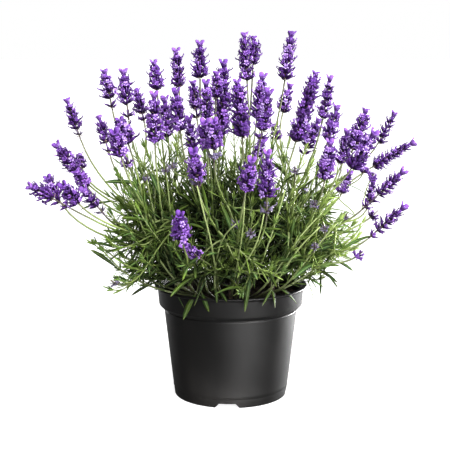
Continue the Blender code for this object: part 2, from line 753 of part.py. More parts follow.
def head_rings(bloom):
    """(centre, radius, whether florets stand on the band above it) of each ring of a head, from its foot up."""
    lowest, foot, tip = bloom_ends(bloom)
    axis = (tip - foot).normalized()
    rings = [(lowest, HEAD_FOOT_RADIUS, False)]
    for distance in sorted(bloom.lone, reverse=True):
        middle = foot - axis * (distance * MM)
        half = axis * LONE_HALF_HEIGHT
        rings += [(middle - half, LONE_CORE_RADIUS, True), (middle + half, LONE_CORE_RADIUS, False)]
        rings.append((middle + axis * LONE_NECK, STEM_RADIUS, False))
    whorls = max(1, round((tip - foot).length / WHORL_STEP) - 1)
    step = (tip - foot) / (whorls + 1)
    for whorl in range(whorls + 1):
        radius = CORE_RADIUS * (1 - CORE_TAPER * (whorl / whorls) ** CORE_TAPER_POWER)
        rings.append((foot + step * (whorl + RING_ABOVE_STEP), radius, whorl < whorls))
    return rings, axis


def head_mesh(bloom):
    """A flower head: whorls of pointed florets round a core, each half a step on, and a forked tuft at the tip."""
    rings, axis = head_rings(bloom)
    points, faces = [], [list(range(HEAD_SIDES))]
    for number, (centre, radius, _) in enumerate(rings):
        points += ring(centre, axis, radius, HEAD_SIDES, HALF_STEP * number)
    for number, (centre, radius, florets) in enumerate(rings[:-1]):
        start = number * HEAD_SIDES
        if florets:
            middle = (centre + rings[number + 1][0]) / 2 + axis * FLORET_LIFT
            swell = LEAST_SWELL + (1 - LEAST_SWELL) * math.sin(math.pi * (number + 1) / len(rings))
            apexes = ring(middle, axis, FLORET_REACH * swell, HEAD_SIDES, HALF_STEP * (number + 1.5))
            faces += floret_faces(start, len(points))
            points += apexes
        else:
            faces += band_faces(start)
    add_tuft(points, faces, start + HEAD_SIDES, rings[-1][0], bloom_ends(bloom)[2])
    return mesh_from("head", points, faces)


def band_quads(start):
    """The four corners between each side of the ring that starts at this point and the ring after it."""
    for side in range(HEAD_SIDES):
        near, far = start + side, start + (side + 1) % HEAD_SIDES
        yield near, far, far + HEAD_SIDES, near + HEAD_SIDES


def band_faces(start):
    return [face for a, b, c, d in band_quads(start) for face in ((a, b, d), (b, c, d))]


def floret_faces(start, first_apex):
    """A pointed floret on each quad of a band."""
    faces = []
    for apex, corners in enumerate(band_quads(start), first_apex):
        faces += [(corners[k], corners[(k + 1) % 4], apex) for k in range(4)]
    return faces


def add_tuft(points, faces, start, centre, tip):
    """The two lobes that end a head, on the ring that starts at this point."""
    outwards = (points[start + 1] - centre).normalized() * TUFT_SPREAD
    fork = len(points)
    points += [centre + (tip - centre).normalized() * TUFT_FORK, tip + outwards, tip - outwards]
    lobes = [(start, start + 1, start + 2, fork), (start + 2, start + 3, start + 4, start, fork)]
    for apex, outline in enumerate(lobes, fork + 1):
        faces += [(outline[k], outline[(k + 1) % len(outline)], apex) for k in range(len(outline))]


def build_heads():
    for number, bloom in enumerate(HEADS, 1):
        add_object(f"head_{number:02}", head_mesh(bloom), "flower_head")


def tidy_joined(part):
    """Drops loose scraps, and fills hollows that the joining sealed."""
    shaped = bmesh.new()
    shaped.from_mesh(part.data)
    bodies = []
    unseen = set(shaped.faces)
    while unseen:
        body = {unseen.pop()}
        front = list(body)
        while front:
            face = front.pop()
            joints = [edge for edge in face.edges if len(edge.link_faces) == 2]
            beside = {other for edge in joints for other in edge.link_faces} & unseen
            unseen -= beside
            body |= beside
            front += beside
        bodies.append(body)
    largest = max(bodies, key=len)
    spare = [face for body in bodies if body is not largest for face in body]
    bmesh.ops.delete(shaped, geom=spare, context="FACES")
    shaped.to_mesh(part.data)
    shaped.free()


def build_branch(number, stems, leaves):
    """One branch: its woody foot, its stems, its leaves and its small heads, joined in one."""
    name = f"branch_{number + 1}"
    path = trunk_path(BRANCH_SITES[number])
    branch = add_object(name, tube(name, path, [TRUNK_RADIUS] * 3, TRUNK_SIDES), "leafy_branch")
    meshes = [stem_mesh(stem, GOLDEN_ANGLE * order) for order, stem in enumerate(stems)]
    meshes += [leaf_mesh(leaf) for leaf in leaves]
    meshes += [head_mesh(stem.bloom) for stem in stems if stem.bloom in SMALL_HEADS]
    pieces = new_collection(name)
    for mesh in meshes:
        add_object(f"{name}_piece", mesh, "leafy_branch", pieces)
    apply_boolean(branch, "UNION", pieces, "MANIFOLD")
    tidy_joined(branch)


def build_plant():
    draw = random.Random(SEED)
    stems = grow_stems(draw)
    keep_apart(stems)
    leaves = place_leaves(stems, draw)
    for number in range(len(BRANCH_SITES)):
        build_branch(number, [stem for stem in stems if stem.branch == number], leaves[number])
    build_heads()


for old in list(bpy.data.objects):
    bpy.data.objects.remove(old)
build_pot()
build_soil()
build_plant()
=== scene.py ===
"""The looks of a lavender in full flower, in the round black nursery pot that it is sold in.

The pot, the soil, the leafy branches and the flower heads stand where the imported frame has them. The plan of
the plant, which says where its stems, leaves and heads are, is worked out as the solids' own source does it.
"""

import json
import math
import random
from collections import namedtuple

import bmesh
import bpy
import numpy as np
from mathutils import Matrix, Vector

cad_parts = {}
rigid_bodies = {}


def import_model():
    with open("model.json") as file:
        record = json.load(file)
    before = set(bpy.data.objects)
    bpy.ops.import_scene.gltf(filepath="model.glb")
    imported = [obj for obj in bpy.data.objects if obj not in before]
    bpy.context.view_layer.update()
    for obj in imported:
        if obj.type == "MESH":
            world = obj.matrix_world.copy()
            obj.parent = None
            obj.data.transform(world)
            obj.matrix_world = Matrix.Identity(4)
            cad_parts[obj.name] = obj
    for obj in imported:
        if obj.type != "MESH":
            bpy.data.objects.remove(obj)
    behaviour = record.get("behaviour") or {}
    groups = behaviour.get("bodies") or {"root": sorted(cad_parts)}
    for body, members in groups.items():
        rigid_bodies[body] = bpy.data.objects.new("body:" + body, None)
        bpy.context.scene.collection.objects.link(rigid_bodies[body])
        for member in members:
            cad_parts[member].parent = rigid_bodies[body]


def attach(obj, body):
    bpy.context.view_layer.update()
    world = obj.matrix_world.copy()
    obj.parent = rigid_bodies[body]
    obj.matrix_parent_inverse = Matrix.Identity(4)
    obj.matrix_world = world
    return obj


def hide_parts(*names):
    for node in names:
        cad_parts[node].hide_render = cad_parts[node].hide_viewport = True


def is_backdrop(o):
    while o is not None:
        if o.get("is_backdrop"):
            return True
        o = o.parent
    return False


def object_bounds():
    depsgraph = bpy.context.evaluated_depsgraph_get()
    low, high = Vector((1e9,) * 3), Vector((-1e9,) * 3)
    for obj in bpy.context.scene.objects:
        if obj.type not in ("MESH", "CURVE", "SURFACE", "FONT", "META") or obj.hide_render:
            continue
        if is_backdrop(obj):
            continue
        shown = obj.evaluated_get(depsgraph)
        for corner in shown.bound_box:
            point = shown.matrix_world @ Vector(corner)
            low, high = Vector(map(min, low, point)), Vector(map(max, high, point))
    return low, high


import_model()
CAD_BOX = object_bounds()

MM = 0.001
GAP = 0.3 * MM
UP = Vector((0, 0, 1))
NEARLY_ALONG_X = 0.8
NO_DISTANCE = 0.01 * MM
PATH_STEP = 3 * MM

# The pot
RIM_RADIUS = 85 * MM
POT_HEIGHT = 125 * MM
LIP_HEIGHT = 2.2 * MM
LIP_OVERHANG = 3.8 * MM
BAND_FOOT_RADIUS = 79.4 * MM
BAND_FOOT_HEIGHT = 103 * MM
BODY_TOP_RADIUS = 74.1 * MM
BODY_TOP_HEIGHT = 98 * MM
FOOT_RADIUS = 62.8 * MM
FOOT_RING_WIDTH = 2.4 * MM
EDGE_ROUNDING = 1.5 * MM
WALL = 1.7 * MM
BASE_UNDERSIDE = 6 * MM
BASE_THICKNESS = 2 * MM
POT_SIDES = 32
FINE_POT_SIDES = 128
NOTCHES = 4
NOTCH_TURN = math.radians(266.5)
NOTCH_BOTTOM_WIDTH = 27 * MM
NOTCH_TOP_WIDTH = 18 * MM
NOTCH_HEIGHT = 5 * MM
NOTCH_CUT_DEPTH = 12 * MM
DRAIN_RADIUS = 5 * MM
DRAIN_RING_RADIUS = 44 * MM
DRAIN_SIDES = 24
CUT_OVERRUN = 2 * MM
WALL_SLOPE = (BODY_TOP_RADIUS - FOOT_RADIUS) / (BODY_TOP_HEIGHT - EDGE_ROUNDING)
INNERMOST = 0.2 * MM
POT_SHARP_EDGES = math.radians(38)

# The pot's fine mouldings, as steps outwards and upwards in millimetres from a corner of its plain outline.
# The lowest step under the lip is as high as the lip.
UNDER_LIP = [(1.2, -0.3), (0.3, -1.32), (0, -2.2)]
OVER_BAND_FOOT = [(0.35, 1.2)]
BAND_FOOT_MIDDLE = (BAND_FOOT_RADIUS - 0.8 * MM, BAND_FOOT_HEIGHT + 0.6 * MM)
BAND_FOOT_ROUNDING = 0.9 * MM
GROOVE = [(1.1, 0.9), (-0.9, 0.7), (-0.9, -0.2), (-0.3, -0.5), (-0.1, -1.1), (-0.16, -1.6)]
WALL_SHARES = np.linspace(0.06, 0.86, 8)
FOOT_STEP_HEIGHT = 10 * MM
FOOT_STEP = [(0.25, 0.6), (-0.25, -0.2), (-0.3, -1)]
OVER_FOOT = [(0.1, 0.35)]
LIP_INSIDE_ROUNDING = 0.8 * MM

# The soil
SOIL_TOP = 112 * MM
SOIL_MOUND = 4 * MM
SOIL_CRUMB = 1.2 * MM
SOIL_ROUGHNESS = 0.7 * MM
SOIL_SIDES = 160
SOIL_RING_SHARES = np.linspace(0.985, 0.01, 46)
SOIL_SEED = 3
CRUMBS = 1000
CRUMB_SIZE = 2.4 * MM
CRUMB_SIZES = (0.5, 1.0)
CRUMB_STRETCHES = (0.6, 1.3)
CRUMB_JITTERS = (0.8, 1.2)
CRUMB_REACH = 0.97
CRUMB_RISE = 0.3

# The soil's waves, in radians for each metre
LONG_WAVES = (190, 170, 260)
LONG_WAVE_START = 1.3
SLANTING_WAVE_SHARE = 0.6
FINE_WAVES = (1310, 1190)
WAVES_OF_FINE_WAVES = (900, 1010)
FINE_WAVE_BENDS = (4, 3)

# Corners of a crumb of unit size are neighbours when they are nearer to each other than this.
CRUMB_NEIGHBOURS_WITHIN = 1.1

# The branches
BranchSite = namedtuple("BranchSite", "turn radius")
INNER_RADIUS = 17 * MM
OUTER_RADIUS = 52 * MM
BRANCH_SITES = [BranchSite(math.radians(turn), INNER_RADIUS) for turn in (10, 190)]
BRANCH_SITES += [BranchSite(math.radians(turn), OUTER_RADIUS) for turn in range(30, 390, 60)]
PLAN_SHRINK = 0.46
TRUNK_RADIUS = 2.7 * MM
TRUNK_IN_SOIL = 24 * MM
TRUNK_COLLAR = 8 * MM
TRUNK_RISE = 8 * MM
TRUNK_LEAN = 0.16

# The stems of the plan, which are the flower stalks and the leafy shoots
STEM_RADIUS = 1.15 * MM
STEM_SAMPLES = 36
STEM_STRETCHES = 3
SIDE_STEM_FORKS = (15 * MM, 29 * MM)
STEM_STIFF_SHARE = 1 / STEM_STRETCHES
STEM_YIELD_SHARE = 0.2
STALK_END_SHARE = 0.25
STEM_GAP = 7 * MM
HEAD_CLEARANCE = 12.5 * MM
STEM_BEND = 0.38
STEM_UPWARDS = 0.3
STALK_GAP = 2 * GAP
STALK_IN_SMALL_HEAD = 2 * MM
APART_ROUNDS = 24
APART_PUSH = 0.5
APART_SMOOTHING = 0.3
SHOOTS = 28
SHOOT_REACHES = (78 * MM, 128 * MM)
SHOOT_REACH_SPREAD = (0.92, 1.08)
SHOOT_LOWEST = math.radians(9)
SHOOT_HIGHEST = math.radians(80)
GOLDEN_ANGLE = math.radians(137.5)

# The leaves of the plan
LEAF_LENGTH = (34 * MM, 49 * MM)
LEAF_WIDTH = 5 * MM
LEAF_WIDEST = 0.5
LEAF_DROOP = 0.30
LEAF_GAP = 1.0 * MM
LEAF_TRIES = 11
LEAF_TRY_SHRINK = 0.94
LEAF_SAMPLE_STEP = 2.5 * MM
LEAF_FOOT_SAMPLES = 2
LEAF_TURN_ASIDE = math.radians(24)
LEAF_SPREAD_AT_TIP = math.radians(28)
LEAF_SPREAD_MORE_AT_FOOT = math.radians(32)
LEAF_ROOT_DEPTH = 0.4 * STEM_RADIUS
LEAF_OVER_SOIL = 10 * MM
LEAF_FIRST_STEPS = (0.8, 1.4)
SHOOT_PAIR_STEP = 17 * MM
PAIR_OFFSET = 1.7 * MM
STALK_LEAF_STEP = 30 * MM
STALK_LEAFY_PART = 0.55
RIM_CLEARANCE = 2 * MM
SOIL_CLEARANCE = 6 * MM
RIM_SAMPLE_STEP = 4 * MM
RIM_SAMPLES = 3 * POT_SIDES
PLANT_SEED = 11

# The flower heads
FLORET_REACH = 8.8 * MM
LONE_HALF_HEIGHT = 3.1 * MM
BELOW_LONE_WHORL = 1.5 * LONE_HALF_HEIGHT
BLOOM_STEP = 4 * MM

# The heads are placed as an eye in front of the plant sees them: where each head's tip and foot lie in a
# square picture, in its pixels, and how far behind the pot's axis the tip is, in millimetres.
PICTURE_SIDE = 450
SIGHT_FOCAL = 1097
SIGHT_PITCH = math.radians(8.9)
EYE = Vector((-6.2, -1200, 378.3)) * MM
FOOT_DEPTH_SHARE = 0.88

# lone: how far below the head's foot its lone whorls sit, in millimetres
Bloom = namedtuple("Bloom", "tip foot depth lone", defaults=((),))
HEADS = [
    Bloom((27, 184), (52, 198), -62, (8, 18)),
    Bloom((47, 175), (57, 196), -12),
    Bloom((61, 184), (78, 203), -108),
    Bloom((55, 143), (76, 171), 50),
    Bloom((75, 170), (87, 187), 10),
    Bloom((82, 188), (97, 206), -40, (9,)),
    Bloom((66, 97), (77, 129), 95, (8,)),
    Bloom((98, 114), (106, 142), 130, (12,)),
    Bloom((104, 68), (110, 98), 55, (10,)),
    Bloom((123, 68), (127, 104), 5, (13,)),
    Bloom((119, 117), (128, 143), -50),
    Bloom((114, 130), (121, 156), -95),
    Bloom((136, 87), (142, 113), 90, (8,)),
    Bloom((154, 59), (157, 90), 20),
    Bloom((154, 91), (155, 142), -60),
    Bloom((164, 96), (168, 136), 50),
    Bloom((176, 48), (179, 87), 75),
    Bloom((175, 88), (180, 130), -35),
    Bloom((188, 116), (193, 147), 10),
    Bloom((193, 150), (197, 178), -130, (8,)),
    Bloom((200, 40), (200, 78), 30),
    Bloom((193, 80), (196, 109), 110, (10,)),
    Bloom((206, 79), (207, 118), -28),
    Bloom((204, 120), (208, 148), -70),
    Bloom((214, 119), (214, 149), -97, (10,)),
    Bloom((224, 60), (221, 136), 22),
    Bloom((217, 70), (216, 98), 0),
    Bloom((237, 78), (242, 137), -38),
    Bloom((244, 31), (247, 80), 55),
    Bloom((254, 35), (253, 64), 85),
    Bloom((263, 73), (257, 118), 15),
    Bloom((269, 89), (262, 130), -62, (8,)),
    Bloom((292, 30), (285, 79), 35),
    Bloom((291, 83), (283, 112), 110),
    Bloom((317, 70), (296, 141), -10),
    Bloom((331, 75), (323, 118), 50),
    Bloom((320, 118), (307, 147), 105, (8,)),
    Bloom((338, 104), (328, 140), 5),
    Bloom((331, 139), (325, 179), -80),
    Bloom((348, 129), (343, 161), 75),
    Bloom((367, 107), (353, 149), 30),
    Bloom((376, 131), (352, 168), -45),
    Bloom((396, 111), (379, 142), 95),
    Bloom((416, 141), (374, 166), 62),
    Bloom((406, 169), (379, 194), -40, (10, 20)),
    Bloom((374, 179), (369, 203), 100),
    Bloom((407, 205), (378, 230), -90, (9,)),
    Bloom((252, 158), (246, 190), -145),
    Bloom((268, 150), (267, 197), -108, (16,)),
    Bloom((179, 213), (182, 239), -167),
]
SMALL_HEADS = [
    Bloom((79, 154), (82, 168), 110),
    Bloom((382, 207), (371, 217), 50),
    Bloom((366, 249), (356, 257), -48),
    Bloom((351, 170), (342, 193), 25),
    Bloom((262, 140), (257, 156), -22),
    Bloom((183, 244), (198, 257), -118),
    Bloom((275, 124), (276, 139), 70),
    Bloom((251, 226), (251, 235), -118),
    Bloom((295, 163), (295, 173), -60),
    Bloom((322, 218), (325, 230), -85),
    Bloom((315, 239), (315, 248), -110),
    Bloom((108, 278), (116, 284), -60),
]
# These stand behind the leaves.
SMALL_HEADS += [
    Bloom((150, 190), (156, 212), 150),
    Bloom((192, 172), (195, 196), 168),
    Bloom((232, 186), (231, 210), 172),
    Bloom((270, 168), (265, 192), 165),
    Bloom((305, 188), (298, 210), 150),
]

# The fine stems
STEM_RINGS = 15
STEM_CORNERS = 5
STALK_TIP_RADIUS = 0.95 * MM
STALK_FOOT_RADIUS = 1.4 * MM
STALK_TOP_TONE = 0.36
SHOOT_TIP_RADIUS = 0.6 * MM
SHOOT_FOOT_RADIUS = 1.25 * MM
TRUNK_TOP_RADIUS = 2.4 * MM
TRUNK_RINGS = 12
TRUNK_CORNERS = 12
TRUNK_UNEVENNESS = (0.92, 1.05)
STALK_TINTS = (0, 0.6)
TAPER_POWER = 0.8

# The finer shoots that fill the bush
FILL_SHOOTS = 330
FILL_REACHES = (128 * MM, 190 * MM)
FILL_LEAST_SHARE = 0.38
FILL_LEAST_SHARE_MORE_UPWARDS = 0.24
FILL_CROWDING = 0.8
FILL_LOWEST = math.radians(6)
FILL_LOWEST_IN_FRONT = 35 * MM
FILL_LOWEST_ELSEWHERE = 6 * MM
FILL_UPWARDS = (0.2, 0.7)
FILL_FIRST_TURN = 1
FILL_SHORTER_IN_FRONT = 0.8
FILL_RISE_TO_RIGHT = 0.36
FILL_SHORTER_TO_RIGHT = 0.92
FILL_HIGHEST = math.radians(87)
FILL_FOOT_ALONG = (4 * MM, 50 * MM)

# Long stems that show in front, each as points in the picture from its foot to its tip, and their depths in
# millimetres behind the pot's axis
ShowyStem = namedtuple("ShowyStem", "line depths leafy_share")
SHOWY_STEMS = [
    ShowyStem(((214, 292), (215, 268), (219, 246), (227, 230), (236, 224)), (-78, -110), 0.6),
    ShowyStem(((240, 268), (252, 255), (260, 235), (264, 214)), (-95, -108), 0.4),
    ShowyStem(((272, 289), (285, 268), (300, 246), (320, 227)), (-78, -86), 0.5),
    ShowyStem(((214, 262), (211, 240), (204, 215), (197, 186)), (-95, -128), 0.3),
    ShowyStem(((176, 284), (165, 255), (155, 220), (147, 180)), (-60, -30), 0.9),
    ShowyStem(((181, 288), (160, 262), (144, 232), (131, 198)), (-66, -50), 1),
    ShowyStem(((184, 290), (155, 270), (130, 245), (112, 214)), (-62, -20), 1),
    ShowyStem(((232, 290), (238, 262), (243, 230), (245, 193)), (-78, -120), 0.3),
    ShowyStem(((190, 292), (183, 262), (172, 225), (166, 172)), (-70, -30), 0.8),
    ShowyStem(((180, 292), (150, 281), (120, 262), (98, 244)), (-50, -10), 1),
    ShowyStem(((178, 294), (150, 287), (122, 272), (104, 252)), (-58, -40), 1),
    ShowyStem(((290, 286), (325, 268), (350, 245), (362, 223)), (-40, 10), 1),
    ShowyStem(((284, 289), (315, 270), (340, 252), (356, 238)), (-60, -30), 1),
    ShowyStem(((262, 290), (283, 262), (303, 232), (330, 205)), (-74, -60), 1),
    ShowyStem(((285, 287), (305, 262), (322, 240), (338, 222)), (-66, -70), 1),
    ShowyStem(((250, 290), (262, 262), (275, 225), (285, 190)), (-76, -80), 0.9),
    ShowyStem(((205, 290), (205, 262), (207, 240), (208, 212)), (-76, -62), 0.6),
]
SHOWY_FOOT_DEPTH_SHARE = 0.5
SHOWY_BARE_PART = 45 * MM
SHOWY_SMOOTHING_ROUNDS = 12
SHOWY_FOOT_RADIUS = 1.15 * SHOOT_FOOT_RADIUS
SHOWY_TIP_RADIUS = 1.3 * SHOOT_TIP_RADIUS
SHOWY_TINTS = (0.7, 1)
SHOWY_LEAF_LENGTH = 23.2 * MM

# Leafy shoots that show among the stalks above the bush
HIGH_SHOOTS = [
    ShowyStem(((200, 288), (188, 240), (170, 190), (156, 138)), (-20, 10), 1),
    ShowyStem(((205, 288), (198, 240), (188, 190), (181, 140)), (-20, 20), 1),
    ShowyStem(((196, 288), (172, 245), (140, 205), (118, 172)), (-30, 10), 1),
    ShowyStem(((212, 288), (213, 240), (216, 190), (221, 134)), (-20, 30), 1),
    ShowyStem(((198, 288), (180, 235), (158, 190), (136, 152)), (-30, 20), 1),
    ShowyStem(((240, 288), (254, 235), (267, 180), (275, 130)), (-20, 10), 1),
    ShowyStem(((245, 288), (272, 240), (292, 190), (305, 150)), (-20, 10), 1),
    ShowyStem(((202, 288), (184, 240), (162, 195), (145, 147)), (-20, -10), 1),
    ShowyStem(((204, 288), (192, 240), (180, 190), (168, 142)), (-20, 40), 1),
    ShowyStem(((208, 288), (202, 240), (195, 190), (190, 147)), (-20, 50), 1),
    ShowyStem(((210, 288), (207, 240), (204, 190), (204, 141)), (-20, 40), 1),
    ShowyStem(((230, 288), (236, 240), (240, 190), (243, 138)), (-20, 30), 1),
    ShowyStem(((236, 288), (246, 240), (255, 190), (259, 140)), (-20, -10), 1),
    ShowyStem(((242, 288), (260, 240), (278, 190), (289, 141)), (-20, 20), 1),
    ShowyStem(((246, 288), (276, 245), (304, 205), (319, 166)), (-20, 20), 1),
    ShowyStem(((196, 288), (168, 245), (142, 205), (127, 160)), (-20, 40), 1),
]
HIGH_SHOOT_SEED = 20
HIGH_SHOOT_LEAF_LENGTH = 34 * MM

# Small spent whorls at the tips of some of the long stems in front
SPENT_WHORLS = [
    Bloom((236, 217), (236, 225), -110),
    Bloom((208, 205), (208, 213), -62),
    Bloom((147, 172), (147, 181), -30),
    Bloom((166, 164), (166, 173), -30),
]

# Small whorls on twigs among the large heads
SIDE_WHORLS = [
    Bloom((366, 165), (363, 173), 10),
    Bloom((375, 172), (371, 179), -30),
    Bloom((348, 211), (345, 219), -20),
    Bloom((316, 198), (314, 206), -70),
    Bloom((343, 153), (339, 163), 30),
    Bloom((345, 184), (340, 192), -10),
    Bloom((127, 157), (128, 165), -70),
    Bloom((172, 160), (172, 168), -40),
]
SIDE_WHORL_RISE = 14 * MM
SIDE_STALK_TINT = 0.4

# A leaf of the plan that hangs lower than this over the rim is shorter here.
PLAN_TIP_LEAST_HEIGHT = POT_HEIGHT - 15 * MM

# The leaves that hang over the rim in front, each as its root and tip in the picture
HangingLeaf = namedtuple("HangingLeaf", "root tip width")
HANGING_LEAVES = [
    HangingLeaf((195, 295), (183, 320), 6.2 * MM),
    HangingLeaf((202, 294), (209, 312), 5.2 * MM),
    HangingLeaf((216, 289), (217, 303), 3.6 * MM),
    HangingLeaf((220, 292), (227, 302), 3.4 * MM),
    HangingLeaf((272, 289), (262, 306), 5.2 * MM),
    HangingLeaf((272, 290), (275, 308), 4.6 * MM),
    HangingLeaf((281, 289), (297, 304), 4.8 * MM),
    HangingLeaf((306, 278), (313, 300), 4.6 * MM),
    HangingLeaf((176, 291), (184, 308), 5.0 * MM),
    HangingLeaf((239, 291), (243, 299), 3.2 * MM),
]
HANG_CLEARANCE = 2.5 * MM
HANG_BEND_SHARE = 0.45
HANG_TINTS = (0.35, 0.6)
HANG_ROUNDS = 4
LEAF_ARCH = 1.5 * MM
TWIG_RADIUS = 0.6 * MM
TWIG_FOOT_RADIUS = 1.4 * TWIG_RADIUS
TWIG_RISE = 25 * MM

# Single leaves that show at the bush's sides, and ones that close the view through its heart. All take one low
# tint: they are painted dark as shade.
SideLeaf = namedtuple("SideLeaf", "root tip depth width")
SIDE_LEAVES = [
    SideLeaf((141, 184), (105, 182), -10, 4.6 * MM),
    SideLeaf((117, 268), (91, 250), -20, 4.2 * MM),
    SideLeaf((112, 247), (93, 243), 0, 3.4 * MM),
    SideLeaf((150, 285), (131, 296), -30, 3.2 * MM),
    SideLeaf((338, 262), (353, 271), -10, 3.2 * MM),
    SideLeaf((206, 236), (198, 209), 30, 6.0 * MM),
    SideLeaf((259, 264), (268, 238), 20, 6.5 * MM),
    SideLeaf((272, 262), (267, 234), 35, 6.5 * MM),
    SideLeaf((275, 250), (283, 222), 30, 6.5 * MM),
    SideLeaf((272, 272), (289, 257), 30, 6.5 * MM),
    SideLeaf((280, 276), (296, 267), 20, 6.0 * MM),
    SideLeaf((176, 278), (156, 275), 20, 5.5 * MM),
]
SIDE_LEAF_SHADE_TINT = 0.1

# The old leaves that fill the heart of the bush. Their low tints are partly the colour of old leaves and
# partly painted shade.
OLD_LEAF_STEP = 4.5 * MM
OLD_LEAF_PART = (8 * MM, 100 * MM)
OLD_LEAF_LENGTH = (20 * MM, 31 * MM)
OLD_LEAF_WIDTH = (4.2 * MM, 6.2 * MM)
OLD_LEAF_MOST_SHARE = 0.7
OLD_LEAF_SPREADS = (0.5, 1.2)
OLD_LEAF_DROOPS = (-0.2, 0.8)
OLD_AND_SHADED_LEAF_TINTS = (0, 0.15)

# The fine leaves. A section is (across, above) pairs, in half widths.
Blade = namedtuple("Blade", "shares widths section")
LONG_BLADE = Blade(
    np.array([0, 0.07, 0.2, 0.38, 0.57, 0.75, 0.89, 0.97, 1]),
    np.array([0.34, 0.40, 0.66, 0.92, 1.0, 0.93, 0.66, 0.34, 0.07]),
    np.array([(-1, -0.16), (-0.55, 0.09), (0, -0.05), (0.55, 0.09), (1, -0.16), (0, -0.26)]),
)
SHORT_BLADE = Blade(
    np.array([0, 0.25, 0.55, 0.85, 1]),
    np.array([0.35, 0.8, 1.0, 0.7, 0.1]),
    np.array([(-1, 0.08), (0, -0.12), (1, 0.08), (0, -0.34)]),
)
LONG_BLADE_LEAST = 30 * MM
LEAF_SLENDERNESS = 0.105
LEAF_WIDTHS = (1.5 * MM, 4.6 * MM)
SHOOT_LEAF_LENGTH = 29 * MM
STALK_LEAF_LENGTH = 31 * MM
NODE_STEP = (7 * MM, 10.5 * MM)
TUFT_CHANCE = 0.3
TUFT_LEAVES = (1, 2)
TUFT_SHARES = (0.3, 0.6)
TIP_LEAVES = 6
TIP_LEAF_PLACE = 0.995
TIP_LEAF_SPREADS = (0.12, 0.5)
TIP_LEAF_LENGTH = (7 * MM, 14 * MM)
FIRST_NODE = (4 * MM, 12 * MM)
FINE_SPREAD_AT_TIP = 24
FINE_SPREAD_MORE_AT_FOOT = 34
FINE_SPREADS = (0.5, 1.2)
FINE_LENGTHS = (0.5, 1.0)
FINE_SHORTER_AT_TIP = 0.5
FINE_DROOPS = (-0.3, 0.4)
FINE_ASIDE = 0.35
TUFT_ASIDE = 0.8
TUFT_SPREADS = (0.3, 0.9)
NODE_TWIST = 0.15
BLADE_TWIST = 0.9
PLAN_LEAF_TINTS = (0, 0.6)

# Leaves are narrower where they are short, and higher up the plant. A height is in metres over the rim.
SLENDERNESS_VARIES = (0.85, 1.2)
WIDER_LOW_DOWN = 1.6
NARROWER_UPWARDS = 6
NARROWEST_SHARE = 0.8

# A leaf is fresher in tint towards its stem's tip. Its tint also carries painted light: lighter away from the
# bush's heart and on the right, where the key light falls, and darker in the shaded heart and on the left.
TINT_BY_PLACE = 0.68
TINT_BY_CHANCE = 0.56
LEAST_PAINTED_LIGHT = 0.2
PAINTED_LIGHT_FROM = 45 * MM
PAINTED_LIGHT_OVER = 65 * MM
SUNNY_TO_RIGHT = 2.4
SUNNY_MOST = 0.25
SHADED_MOST = 0.45

# How far the leaves and stems are painted darker, as shade, by the distance from the bush's heart
BUSH_HEART = (-0.01, 0.01, 0.14)
BUSH_SHADE = (0.06, 0.15)
HEART_RADIUS = 90 * MM

# The florets
WHORL_STEP = 5.9 * MM
WHORL_FLORETS = 11
WHORL_UNEVENNESS = 1.2 * MM
CALYX_LENGTH = 6.0 * MM
CALYX_RADIUS = 1.0 * MM
CALYX_SIDES = 5
CALYX_OUTLINE = [(0.5, 0.0), (1.1, 0.35), (0.8, 1.0)]
CALYX_SIZE = (CALYX_RADIUS, CALYX_RADIUS, CALYX_LENGTH)
MOUTH_PLACE = 0.93 * CALYX_LENGTH
LOBE_LENGTH = 2.9 * MM
FLORET_FOOT = 1.0 * MM
FLORET_TURNS = 0.22
FLORET_TILTS = 0.26
FLORET_SIZES = (0.8, 1.12)
FLOWER_SIZES = (0.7, 1.15)
BUD_SIZES = (0.6, 1.35)
BUD_BENDS = (0, 0.55)
BUD_TINTS = (0, 0.7)
DARK_BUDS = 0.5
BRACTS = 3
BRACT_DROP = 1.2 * MM
BRACT_TURN = 0.3
BRACT_LEANS_MORE = 0.3
BRACT_SHARE = 0.9
WHORL_LIFT = 0.5 * MM
WHORL_SHRINK_AT_TOP = 0.2
LEAN_AT_FOOT = 56
LESS_LEAN_AT_TOP = 14
LONE_FLORETS = 6
LONE_LEAN = math.radians(58)
LONE_SIZE = 0.85
LONE_OPEN_SHARE = 0.6
HEAD_SPINE_RINGS = 9
HEAD_SPINE_RADII = (1.1 * STALK_TIP_RADIUS, 0.6 * MM)
TUFT_NECK = 9 * MM
TUFT_LOBE = 9.4 * MM
TUFT_LOBE_UPWARDS = 0.84
TUFT_MOST_SHARE = 0.3
TUFTED_MOST_SHARE = 0.45
BLUNT_SHARE = 0.3
TUFT_CALYCES = 4
TUFT_CALYX_RISE = 2 * MM
TUFT_CALYX_LEAN = 0.35
TUFT_CALYX_SIZE = 0.6
TUFT_LEANS = 0.25
TUFT_TURNS = 0.5
TUFT_SIZES = (0.9, 1.1)
TUFT_TINTS = (0.1, 0.4)

# The picture
LENS_SENSOR = 36
FLOOR_RADIUS = 60
FLOOR_SIDES = 96
KEY_FROM = (0.75, -0.75, 1.25)
KEY_STRENGTH = 6.0
KEY_SPREAD = math.radians(75)
VIEW_GAMMA = 0.84
FLOOR_GLOW = 0.86
FLOOR_GREY = 0.3
SKY_COLOUR = (0.97, 0.98, 1.0, 1)
WHITE = (1, 1, 1, 1)
SKY_EDGE = 0.9
DARK_SIDE = 0.06
LIGHT_SIDE = 1.15

